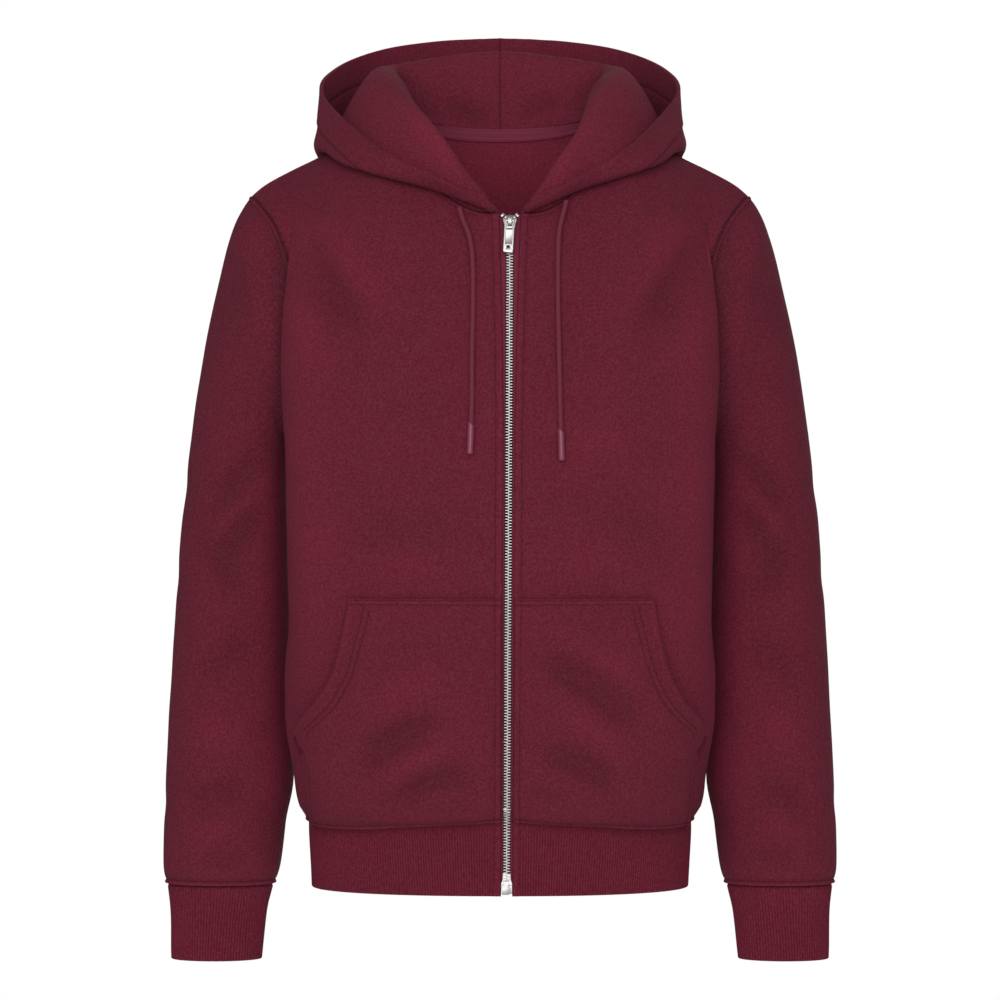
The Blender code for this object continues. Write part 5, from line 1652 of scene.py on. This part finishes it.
def tab_solid():
    """The pull tab: a bar in a window, a sunk panel and a round hole at its foot."""
    half, foot = TAB_HALF_WIDTH, -TAB_LENGTH
    outline = ((-half, TAB_HEAD), (half, TAB_HEAD), (half - TAB_TAPER, foot),
               (-half + TAB_TAPER, foot))
    tab = plate("zip_pull_tab_plate", rounded_outline(outline, 1.7, 5), -TAB_HALF_DEPTH,
                TAB_HALF_DEPTH)
    window = rounded_outline(box_outline(*TAB_WINDOW), 0.4)
    joined(tab, plate("window", window, -CUT, CUT), "DIFFERENCE")
    hole = rod("hole", TAB_HOLE_RADIUS, 2 * CUT, (0.0, TAB_HOLE_UP, 0.0), 28)
    joined(tab, hole, "DIFFERENCE")
    panel = rounded_outline(box_outline(*TAB_PANEL), 1.0)
    for side in (1, -1):
        ends = sorted((side * (TAB_HALF_DEPTH - TAB_PANEL_DEPTH), side * CUT))
        joined(tab, plate("panel", panel, *ends), "DIFFERENCE")
    return rounded(tab, 0.22, 2)


def stop_solid(name, side):
    """A top stop: a pressed nugget set askew, with a smaller nub below it."""
    width, height, depth = STOP_SIZE
    outline = box_outline((-width / 2, -height / 2), (width / 2, height / 2))
    face = TAPE / 2
    stop = plate(name, rounded_outline(outline, 0.8), face - 0.2, face + depth)
    stop.data.transform(Matrix.Rotation(STOP_TURN * side, 4, "Z"))
    x, y, z = NUB_PLACE
    joined(stop, rod("nub", NUB_RADIUS, NUB_DEPTH, (x * side, y, face + z), 16))
    return rounded(stop, 0.45, 2)


BoxPart = namedtuple("BoxPart", "left low right high out")
BOX_FRONT = 3.0
BOX_PARTS = (
    BoxPart(-4.1, -6, 2.2, -0.4, 2.2),
    BoxPart(-3.2, -1, 2.2, 6, 1.9),
    BoxPart(-4.4, -1.2, -2.8, 2.6, 1.3),
    BoxPart(1.8, -5.4, 4.4, 2.4, 1.5),
)
BOX_GROOVE = BoxPart(-0.85, 0.2, -0.15, 7, 1.3)


def box_solid():
    """The box at the zip's foot: its stepped parts, with the pin's groove in front."""
    parts = []
    for left, low, right, high, out in BOX_PARTS:
        outline = rounded_outline(box_outline((left, low), (right, high)), 0.5)
        parts.append(plate("zip_bottom_box_part", outline, -out, out))
    box = parts[0]
    for part in parts[1:]:
        joined(box, part)
    left, low, right, high, out = BOX_GROOVE
    groove = plate("groove", box_outline((left, low), (right, high)), out, BOX_FRONT)
    joined(box, groove, "DIFFERENCE")
    return rounded(box, 0.28, 2)


# ------------ materials

# Sizes of the patterns.  Wales lie 1 mm apart on such cloth and its tufts are 1 mm wide; both
# are drawn coarser so that they show.
WALE = 1.7 * MM
NAP = 2.0 * MM
FIBRE = 0.8 * MM
DYE_CLOUD = 62.5 * MM
TAPE_TWILL = 1.1 * MM
TAPE_YARN = 0.6 * MM
PLATE_SWELL = 2.0 * MM
PLATE_SCUFF = MM / 2.6
CORD_YARN = 0.75 * MM
CORD_FIBRE = MM / 1.7
DIP_RIPPLE = MM / 0.6
DIP_CLOUD = MM / 0.26
THREAD_PLY = MM / 1.5
PAPER_TOOTH = MM / 0.9
TWILL_SLANT = math.radians(58.0)
CORD_SLANT = math.radians(32.0)
BRIGHT = (0.24, 0.44)  # roughness of the polished plate, least and most
SATIN = (0.5, 0.68)  # the same on the teeth


def add_node(tree, kind, values=(), out=0, **settings):
    """Add a node; each input gets a number or a link from a socket. Returns one output."""
    node = tree.nodes.new("ShaderNode" + kind)
    for name, value in settings.items():
        setattr(node, name, value)
    for key, value in dict(values).items():
        if isinstance(value, bpy.types.NodeSocket):
            tree.links.new(value, node.inputs[key])
        else:
            node.inputs[key].default_value = value
    return node.outputs[out]


def new_material(name, **values):
    """A material with its Principled shader set; returns it with its tree and shader."""
    material = bpy.data.materials.new(name)
    material.use_nodes = True
    shader = material.node_tree.nodes["Principled BSDF"]
    for key, value in values.items():
        shader.inputs[key.replace("_", " ")].default_value = value
    return material, material.node_tree, shader


def cached_material(make):
    """Make a material once and give the same one from then on."""
    def give(*values):
        key = make.__name__ + repr(values)
        for material in bpy.data.materials:
            if material.get("made_by") == key:
                return material
        material = make(*values)
        material["made_by"] = key
        return material
    return give


def wave_scale(period):
    """The wave texture's scale for bands that repeat at a length in metres."""
    return math.pi / 10 / period


def surface(tree, shader, colour, tone, relief=None):
    """Scale a colour from low to high by one pattern and raise the surface by another."""
    pattern, low, high = tone
    shade = add_node(tree, "MapRange", {"Value": pattern, "To Min": low, "To Max": high})
    scaled = add_node(tree, "VectorMath", {0: colour[:3], "Scale": shade}, operation="SCALE")
    tree.links.new(scaled, shader.inputs["Base Color"])
    if relief:
        pattern, strength, depth = relief
        bump = add_node(tree, "Bump", {"Height": pattern, "Strength": strength, "Distance": depth})
        tree.links.new(bump, shader.inputs["Normal"])


def knit_material(name, colour, nap_colour, sheen, depth, wale_depth, rib_shade=None):
    """Knit cloth with a nap: wales, fibres, uneven dye and pale flecks, and painted shade and
    highlight from the piece's values.
    """
    material, tree, shader = new_material(name, Roughness=0.95, Sheen_Weight=sheen,
                                          Sheen_Roughness=0.55, Specular_IOR_Level=0.2)
    shader.inputs["Sheen Tint"].default_value = (*nap_colour, 1.0)
    uv = add_node(tree, "UVMap", uv_map="cloth")
    place = add_node(tree, "TexCoord", out="Object")
    wales = add_node(tree, "TexWave", {
        "Vector": uv, "Scale": wave_scale(WALE), "Distortion": 1.2, "Detail": 2.0,
        "Detail Scale": 2.0}, out="Fac", wave_type="BANDS", bands_direction="X")
    nap = add_node(tree, "TexNoise", {
        "Vector": place, "Scale": 1.0 / NAP, "Detail": 3.0, "Roughness": 0.6})
    fibre = add_node(tree, "TexNoise", {"Vector": place, "Scale": 1.0 / FIBRE, "Detail": 2.0})
    cloud = add_node(tree, "TexNoise", {"Vector": place, "Scale": 1.0 / DYE_CLOUD, "Detail": 3.0})
    height = add_node(tree, "Math", {0: nap, 1: fibre}, operation="ADD")
    wavy = add_node(tree, "Math", {0: wales, 1: wale_depth, 2: height}, operation="MULTIPLY_ADD")
    bump = add_node(tree, "Bump", {"Height": wavy, "Strength": depth, "Distance": 0.6 * MM})
    tree.links.new(bump, shader.inputs["Normal"])
    shade = add_node(tree, "Math", {0: height, 1: 0.48, 2: 0.52}, operation="MULTIPLY_ADD")
    cloudy = add_node(tree, "Math", {0: cloud, 1: 0.2, 2: 0.9}, operation="MULTIPLY_ADD")
    # painted shade darkens seams, grooves, rims, folds and the sleeves' lee, and a painted
    # highlight lightens welts, ridges of folds and turned sides
    hollow = add_node(tree, "Attribute", out="Fac", attribute_name="hollow")
    shading_factor = add_node(tree, "MapRange", {
        "Value": hollow, "From Min": -1.0, "From Max": 1.2, "To Min": 1.34, "To Max": 0.5})
    factors = [cloudy, shading_factor]
    # painted shade in the ribs' valleys and a painted highlight on their crests
    if rib_shade:
        crest = add_node(tree, "Attribute", out="Fac", attribute_name="crest")
        low, high = rib_shade
        factors.append(add_node(tree, "MapRange", {"Value": crest, "To Min": low, "To Max": high}))
    for factor in factors:
        shade = add_node(tree, "Math", {0: shade, 1: factor}, operation="MULTIPLY")
    # polyester fibres take less of the dye and stand out as pale flecks
    fleck = add_node(tree, "MapRange", {
        "Value": nap, "From Min": 0.4, "From Max": 0.66, "To Min": 0.0, "To Max": 0.011})
    scaled = add_node(tree, "VectorMath", {0: colour[:3], "Scale": shade}, operation="SCALE")
    flecked = add_node(tree, "VectorMath", {0: scaled, 1: fleck}, operation="ADD")
    tree.links.new(flecked, shader.inputs["Base Color"])
    return material


@cached_material
def brushed_fleece(colour, nap_colour):
    """Cotton-rich sweatshirt fleece, knitted, its smooth face lightly brushed."""
    # the nap turns pale at a glancing view, and the loops under it show as faint upright wales
    return knit_material("brushed fleece", colour, nap_colour, 0.08, 0.6, 0.5)


@cached_material
def fleece_inside(colour, nap_colour):
    """The inside of the same fleece, raised on wire rollers."""
    # its long nap nearly hides the wales, so it is softer and shows cloudy tufts
    return knit_material("raised fleece inside", colour, nap_colour, 0.12, 0.8, 0.1)


@cached_material
def rib_knit(colour, nap_colour):
    """Two by one rib knit in cotton with elastane."""
    # painted shade darkens the valleys between its ribs, and a painted highlight lightens their
    # crests
    return knit_material("rib knit", colour, nap_colour, 0.06, 0.5, 0.0, (0.66, 1.12))


@cached_material
def woven_tape(colour):
    """Polyester tape, woven in a fine twill and piece dyed."""
    # smoother than the fleece, with slanting ridges and a slight satin shine
    material, tree, shader = new_material("woven tape", Roughness=0.8, Specular_IOR_Level=0.12)
    uv = add_node(tree, "UVMap", uv_map="cloth")
    turned = add_node(tree, "Mapping", {"Vector": uv, "Rotation": (0.0, 0.0, TWILL_SLANT)})
    twill = add_node(tree, "TexWave", {
        "Vector": turned, "Scale": wave_scale(TAPE_TWILL)}, out="Fac", wave_type="BANDS",
        bands_direction="X")
    yarn = add_node(tree, "TexWave", {
        "Vector": uv, "Scale": wave_scale(TAPE_YARN)}, out="Fac", wave_type="BANDS",
        bands_direction="Y")
    height = add_node(tree, "Math", {0: yarn, 1: 0.4, 2: twill}, operation="MULTIPLY_ADD")
    surface(tree, shader, colour, (twill, 0.8, 1.1), (height, 0.4, 0.3 * MM))
    return material


@cached_material
def nickel_plate(colour, roughness):
    """Zinc, die cast, barrel polished and plated with bright nickel; its teeth left satin."""
    # a clear white shine broken by the faint swell and fine scuffs that the barrel leaves
    material, tree, shader = new_material("bright nickel plate", Metallic=1.0)
    place = add_node(tree, "TexCoord", out="Object")
    swell = add_node(tree, "TexNoise", {"Vector": place, "Scale": 1.0 / PLATE_SWELL, "Detail": 2.0})
    scuff = add_node(tree, "TexNoise", {"Vector": place, "Scale": 1.0 / PLATE_SCUFF, "Detail": 3.0})
    rough = add_node(tree, "MapRange", {
        "Value": scuff, "To Min": roughness[0], "To Max": roughness[1]})
    tree.links.new(rough, shader.inputs["Roughness"])
    surface(tree, shader, colour, (swell, 0.9, 1.06), (swell, 0.12, 0.2 * MM))
    return material


@cached_material
def braided_cotton(colour):
    """Round cord braided from dyed cotton yarn."""
    # the crossing yarns catch the light in turn, and single fibres make its outline soft
    material, tree, shader = new_material("braided cotton", Roughness=0.9, Specular_IOR_Level=0.2)
    uv = add_node(tree, "UVMap", uv_map="cord")
    waves = []
    for slant in (CORD_SLANT, -CORD_SLANT):
        turned = add_node(tree, "Mapping", {"Vector": uv, "Rotation": (0.0, 0.0, slant)})
        waves.append(add_node(tree, "TexWave", {
            "Vector": turned, "Scale": wave_scale(CORD_YARN)}, out="Fac", wave_type="BANDS",
            bands_direction="X"))
    over = add_node(tree, "Math", {0: waves[0], 1: waves[1]}, operation="MAXIMUM")
    place = add_node(tree, "TexCoord", out="Object")
    fibre = add_node(tree, "TexNoise", {"Vector": place, "Scale": 1.0 / CORD_FIBRE, "Detail": 2.0})
    height = add_node(tree, "Math", {0: fibre, 1: 0.5, 2: over}, operation="MULTIPLY_ADD")
    surface(tree, shader, colour, (over, 0.72, 1.08), (height, 0.5, 0.3 * MM))
    return material


@cached_material
def dipped_plastic(colour):
    """Soft vinyl in which the ends of the cord were dipped."""
    # an even satin shine over the cord's faint relief
    material, tree, shader = new_material("dipped soft vinyl", Roughness=0.38)
    uv = add_node(tree, "UVMap", uv_map="cord")
    place = add_node(tree, "TexCoord", out="Object")
    ripple = add_node(tree, "TexNoise", {"Vector": uv, "Scale": 1.0 / DIP_RIPPLE, "Detail": 1.0})
    cloud = add_node(tree, "TexNoise", {"Vector": place, "Scale": 1.0 / DIP_CLOUD, "Detail": 2.0})
    surface(tree, shader, colour, (cloud, 0.92, 1.08), (ripple, 0.18, 0.3 * MM))
    return material


@cached_material
def sewing_thread(colour):
    """Spun polyester sewing thread of two twisted plies."""
    # each stitch has a small soft gleam along its top
    material, tree, shader = new_material("sewing thread", Roughness=0.7, Specular_IOR_Level=0.12)
    place = add_node(tree, "TexCoord", out="Object")
    ply = add_node(tree, "TexNoise", {"Vector": place, "Scale": 1.0 / THREAD_PLY, "Detail": 2.0})
    surface(tree, shader, colour, (ply, 0.85, 1.15), (ply, 0.3, 0.2 * MM))
    return material


@cached_material
def studio_paper(colour):
    """Matt background paper from a roll."""
    # an even surface without shine, with the faintest tooth
    material, tree, shader = new_material("studio paper", Roughness=1.0, Specular_IOR_Level=0.0)
    place = add_node(tree, "TexCoord", out="Object")
    tooth = add_node(tree, "TexNoise", {"Vector": place, "Scale": 1.0 / PAPER_TOOTH, "Detail": 2.0})
    surface(tree, shader, colour, (tooth, 0.99, 1.0))
    return material


# ------------ settings

def colour_setting(name, description, code):
    return bpy.props.FloatVectorProperty(name=name, description=description, subtype="COLOR",
                                         size=3, min=0.0, max=1.0, default=linear(code))


def length_setting(name, description, size):
    return bpy.props.FloatProperty(name=name, description=description, unit="LENGTH",
                                   precision=5, min=0.0, default=size * MM)


class HoodieCloth(bpy.types.PropertyGroup):
    fleece: colour_setting("Fleece", "Colour of the fleece's face", "#611529")
    inside: colour_setting("Inside", "Colour of the hood's and sleeves' raised inside", "#68192D")
    # the body's inside is set paler than the hood's and sleeves' as painted light, for the shade
    # inside the neck
    body_inside: colour_setting("Body inside", "Colour of the body's raised inside", "#82253B")
    nap: colour_setting("Nap", "Colour of the raised fibres at a glancing view", "#8A3A50")
    rib: colour_setting("Rib knit", "Colour of waistband and cuffs", "#66142A")
    # the tape is paler than the fleece, and its colour is made paler still as painted light for the
    # shade inside the neck
    tape: colour_setting("Neck tape", "Colour of the tape inside the neck", "#8A3A4F")
    zip_tape: colour_setting("Zip tape", "Colour of the zip's tapes", "#70283B")
    thread: colour_setting("Thread", "Colour of the stitches", "#5C1428")
    crease_depth: bpy.props.FloatProperty(name="Crease depth", subtype="FACTOR", default=1.0,
                                          min=0.0, max=2.0,
                                          description="Share of the creases' full depth")


class HoodieTrim(bpy.types.PropertyGroup):
    metal: colour_setting("Metal", "Colour of the zip's metal", "#B4B3B2")
    teeth: colour_setting("Teeth", "Colour of the zip's teeth", "#F1F0EE")
    cord: colour_setting("Cord", "Colour of the drawcords", "#6E2A3C")
    tip: colour_setting("Tips", "Colour of the cords' dipped tips", "#783046")
    cord_width: length_setting("Cord width", "Diameter of the drawcords", 2 * CORD_RADIUS)


class HoodieStage(bpy.types.PropertyGroup):
    paper: colour_setting("Paper", "Colour of the paper on the floor", "#FAFAFA")
    floor_drop: length_setting("Floor", "Height of the shoulders over the floor", 1430.0)
    key_power: bpy.props.FloatProperty(name="Key light", description="Power of the key light",
                                       unit="POWER", default=136.0, min=0.0)
    back_power: bpy.props.FloatProperty(name="Back light", description="Power of the back light",
                                        unit="POWER", default=70.0, min=0.0)
    fill: bpy.props.FloatProperty(name="Fill", description="Strength of the light all round",
                                  subtype="FACTOR", default=0.31, min=0.0, max=2.0)


# ------------ operators

CAMERA_AWAY = 3.5
CAMERA_HEIGHT = -0.346
CAMERA_LENS = 138.46
CAMERA_SENSOR = 36.0
LIGHT_SIZE = 4.0
KEY_PLACE = (-0.2, -4.0, 0.75)
BACK_PLACE = (0.9, 4.2, 0.9)
FLOOR_SIZE = 8.0


class HOODIE_OT_stage(bpy.types.Operator):
    """Set up the camera, the floor and soft studio light"""

    bl_idname = "hoodie.stage"
    bl_label = "Stage"

    def execute(self, context):
        settings = context.scene.hoodie_stage
        scene = context.scene
        camera = bpy.data.objects.new("camera", bpy.data.cameras.new("camera"))
        scene.collection.objects.link(camera)
        camera.location = (0.0, -CAMERA_AWAY, CAMERA_HEIGHT)
        camera.rotation_euler = (math.pi / 2, 0.0, 0.0)
        camera.data.sensor_width = CAMERA_SENSOR
        camera.data.lens = CAMERA_LENS
        scene.camera = camera
        world = bpy.data.worlds.new("studio")
        world.use_nodes = True
        scene.world = world
        self.light_world(world, settings.fill)
        self.add_light(scene, "key", settings.key_power, KEY_PLACE)
        self.add_light(scene, "back", settings.back_power, BACK_PLACE)
        self.add_floor(settings)
        scene.view_settings.view_transform = "Standard"
        return {"FINISHED"}

    def light_world(self, world, fill):
        """White behind everything, and a weaker even light that fills the shadows."""
        tree = world.node_tree
        background = tree.nodes["Background"]
        background.inputs["Color"].default_value = (1.0, 1.0, 1.0, 1.0)
        seen = add_node(tree, "LightPath")
        strength = add_node(tree, "MapRange", {"Value": seen, "To Min": fill, "To Max": 1.0})
        tree.links.new(strength, background.inputs["Strength"])

    def add_light(self, scene, name, power, place):
        light = bpy.data.lights.new(name, "AREA")
        light.energy = power
        light.size = LIGHT_SIZE
        lamp = bpy.data.objects.new(name, light)
        scene.collection.objects.link(lamp)
        lamp.location = place
        way = Vector((0.0, 0.0, CAMERA_HEIGHT)) - Vector(place)
        lamp.rotation_euler = way.to_track_quat("-Z", "Y").to_euler()

    def add_floor(self, settings):
        bpy.ops.object.select_all(action="DESELECT")
        bpy.ops.mesh.primitive_grid_add(x_subdivisions=8, y_subdivisions=8, size=FLOOR_SIZE,
                                        location=(0.0, 0.0, -settings.floor_drop))
        bpy.ops.object.transform_apply()
        floor = bpy.context.object
        floor.name = "studio_floor"
        floor.data.materials.append(studio_paper(tuple(settings.paper)))


class HOODIE_OT_cords(bpy.types.Operator):
    """Hang the two ends of the drawcord and their dipped tips"""

    bl_idname = "hoodie.cords"
    bl_label = "Drawcords"

    def execute(self, context):
        settings = context.scene.hoodie_trim
        radius = settings.cord_width / MM / 2
        for word, points in CORDS.items():
            path = smooth_path(points)
            count = int(lengths_along(path)[-1] / CORD_STEP)
            path = even_points(path, count)
            radii = np.full(len(path), radius - BRAID_RELIEF)
            cord = tube_object("drawcord_" + word + "_braid", path, radii, CORD_SIDES,
                               braided_cotton(tuple(settings.cord)), lift=braid)
            finish_piece(cord, "garment", "drawcord_" + word + "_braid", "drawcord_" + word)
            tip = self.hang_tip(word, path, dipped_plastic(tuple(settings.tip)))
        return {"FINISHED"}

    def hang_tip(self, word, path, material):
        """A tip below the cord's end, its upper edge drawn up on one side by the dip."""
        way = unit(path[-1] - path[-6])
        line = np.array([path[-1] + way * ring.along for ring in TIP_RINGS])
        radii = [TIP_RADIUS * ring.share for ring in TIP_RINGS]
        slants = [ring.slant for ring in TIP_RINGS]
        tip = tube_object("cord_tip_" + word + "_dip", line, radii, TIP_SIDES, material,
                          slants=slants)
        return finish_piece(tip, "garment", "cord_tip_" + word + "_dip", "cord_tip_" + word)


class HOODIE_OT_cloth(bpy.types.Operator):
    """Cut, crease and sew the fronts, the back, the sleeves, the hood and the pockets"""

    bl_idname = "hoodie.cloth"
    bl_label = "Cloth"

    def execute(self, context):
        settings = context.scene.hoodie_cloth
        nap = tuple(settings.nap)
        face = brushed_fleece(tuple(settings.fleece), nap)
        inside = fleece_inside(tuple(settings.inside), nap)
        # a paler copy of the inside for the body, as painted light in the shaded neck
        body_inside = fleece_inside(tuple(settings.body_inside), nap)
        for piece in all_cloth(settings.crease_depth).values():
            if piece.kind in RIBS or piece.kind == "tape":
                continue
            within = body_inside if piece.kind in ("front", "back") else inside
            cloth_object(piece, face, within)
        return {"FINISHED"}


class HOODIE_OT_bands(bpy.types.Operator):
    """Knit the waistband and the cuffs"""

    bl_idname = "hoodie.bands"
    bl_label = "Rib bands"

    def execute(self, context):
        settings = context.scene.hoodie_cloth
        rib = rib_knit(tuple(settings.rib), tuple(settings.nap))
        for piece in all_cloth(settings.crease_depth).values():
            if piece.kind in RIBS:
                cloth_object(piece, rib, rib)
        return {"FINISHED"}


class HOODIE_OT_tapes(bpy.types.Operator):
    """Lay the tape inside the neck and the two tapes of the zip"""

    bl_idname = "hoodie.tapes"
    bl_label = "Tapes"

    def execute(self, context):
        settings = context.scene.hoodie_cloth
        depth = settings.crease_depth
        # the neck tape's colour carries painted light for the shade inside the neck
        tape = woven_tape(tuple(settings.tape))
        cloth_object(all_cloth(depth)["neck_tape"], tape, tape)
        tape = woven_tape(tuple(settings.zip_tape))
        for word, side in SIDES:
            cloth_object(zip_tape_cloth(word, side, zip_path(depth)), tape, tape)
        return {"FINISHED"}


class HOODIE_OT_zip(bpy.types.Operator):
    """Cast the zip's teeth, slider, pull tab, stops and box"""

    bl_idname = "hoodie.zip"
    bl_label = "Zip"

    def execute(self, context):
        metal = nickel_plate(tuple(context.scene.hoodie_trim.metal), BRIGHT)
        satin = nickel_plate(tuple(context.scene.hoodie_trim.teeth), SATIN)
        path = zip_path(context.scene.hoodie_cloth.crease_depth)
        shape = tooth()
        places = teeth_places(path, 1, 0.0) + teeth_places(path, -1, TOOTH_PITCH / 2)
        points, faces = copies(shape, places)
        teeth = new_mesh_object("zip_teeth", points, faces, [satin], 35.0)
        finish_piece(teeth, "garment", "zip_chain_metal", "zip_chain")

        hinge = next(joint for joint in frame["joints"] if joint["name"] == "pull_tab_hinge")
        place = zip_place(path, SLIDER_Z)
        axis = Vector(hinge["pos_m"]) / MM
        slider = place_matrix(place._replace(middle=axis - place.out * TAB_AXIS_OUT))
        set_in_place(slider_solid(), slider, metal, "garment", "zip_slider_metal", "zip_slider")
        swing = Matrix.Rotation(TAB_SWING, 4, "X") @ Matrix.Rotation(-TAB_LEAN, 4, "Z")
        set_in_place(tab_solid(), place_matrix(place._replace(middle=axis)) @ swing, metal,
                     "pull_tab", "zip_pull_tab_metal", "zip_pull_tab")
        for word, side in SIDES:
            name = "zip_top_stop_" + word
            where = zip_place(path, STOP_Z)
            moved = where._replace(middle=where.middle + where.across * (side * STOP_ACROSS))
            set_in_place(stop_solid(name + "_nugget", side), place_matrix(moved), metal,
                         "garment", name + "_metal", name)
        box = place_matrix(zip_place(path, (BOX_TOP + BOX_BOTTOM) / 2))
        set_in_place(box_solid(), box, metal, "garment", "zip_bottom_box_metal", "zip_bottom_box")
        return {"FINISHED"}


class HOODIE_OT_stitches(bpy.types.Operator):
    """Sew the rows of stitches along seams, hems and openings"""

    bl_idname = "hoodie.stitches"
    bl_label = "Stitches"

    def execute(self, context):
        settings = context.scene.hoodie_cloth
        thread = sewing_thread(tuple(settings.thread))
        for piece in all_cloth(settings.crease_depth).values():
            rows = [piece.line_path(line) for line in LINES.get(piece.kind, ())]
            if piece.kind == "hood":
                rows += [piece.line_path(line, inner=True) for line in LINES["hood"]]
            places = [place for row in rows if len(row) > 2 for place in stitch_places(row)]
            if places:
                self.add_thread(piece, "_stitches", stitch_shape(), places, thread)
            if piece.kind == "pocket":
                shape = stitch_shape(TACK_HALF, TACK_RADIUS)
                self.add_thread(piece, "_bar_tack", shape, bar_tack(piece), thread)
        return {"FINISHED"}

    def add_thread(self, piece, what, shape, places, thread):
        points, faces = copies(shape, places)
        obj = new_mesh_object(piece.name + what, points, faces, [thread], 80.0)
        finish_piece(obj, "garment", piece.name + "_cloth")


class HOODIE_PT_panel(bpy.types.Panel):
    """The hoodie's pieces and their settings"""

    bl_label = "Zip-up hoodie"
    bl_space_type = "VIEW_3D"
    bl_region_type = "UI"
    bl_category = "Hoodie"

    def draw(self, context):
        for group in GROUPS:
            settings = getattr(context.scene, group)
            box = self.layout.box()
            for name in settings.__annotations__:
                box.prop(settings, name)
        for operator in OPERATORS:
            self.layout.operator(operator.bl_idname)


OPERATORS = (HOODIE_OT_stage, HOODIE_OT_cords, HOODIE_OT_cloth, HOODIE_OT_bands,
             HOODIE_OT_tapes, HOODIE_OT_zip, HOODIE_OT_stitches)
GROUPS = {"hoodie_cloth": HoodieCloth, "hoodie_trim": HoodieTrim, "hoodie_stage": HoodieStage}


def register():
    for group in GROUPS.values():
        bpy.utils.register_class(group)
    for operator in OPERATORS:
        bpy.utils.register_class(operator)
    bpy.utils.register_class(HOODIE_PT_panel)
    for name, group in GROUPS.items():
        setattr(bpy.types.Scene, name, bpy.props.PointerProperty(type=group))


def unregister():
    for name in GROUPS:
        delattr(bpy.types.Scene, name)
    for kind in (HOODIE_PT_panel, *reversed(OPERATORS), *reversed(GROUPS.values())):
        bpy.utils.unregister_class(kind)


def main():
    register()
    bpy.ops.hoodie.stage()
    bpy.ops.hoodie.cords()
    bpy.ops.hoodie.cloth()
    bpy.ops.hoodie.bands()
    bpy.ops.hoodie.tapes()
    bpy.ops.hoodie.zip()
    bpy.ops.hoodie.stitches()


if __name__ == "__main__":
    main()
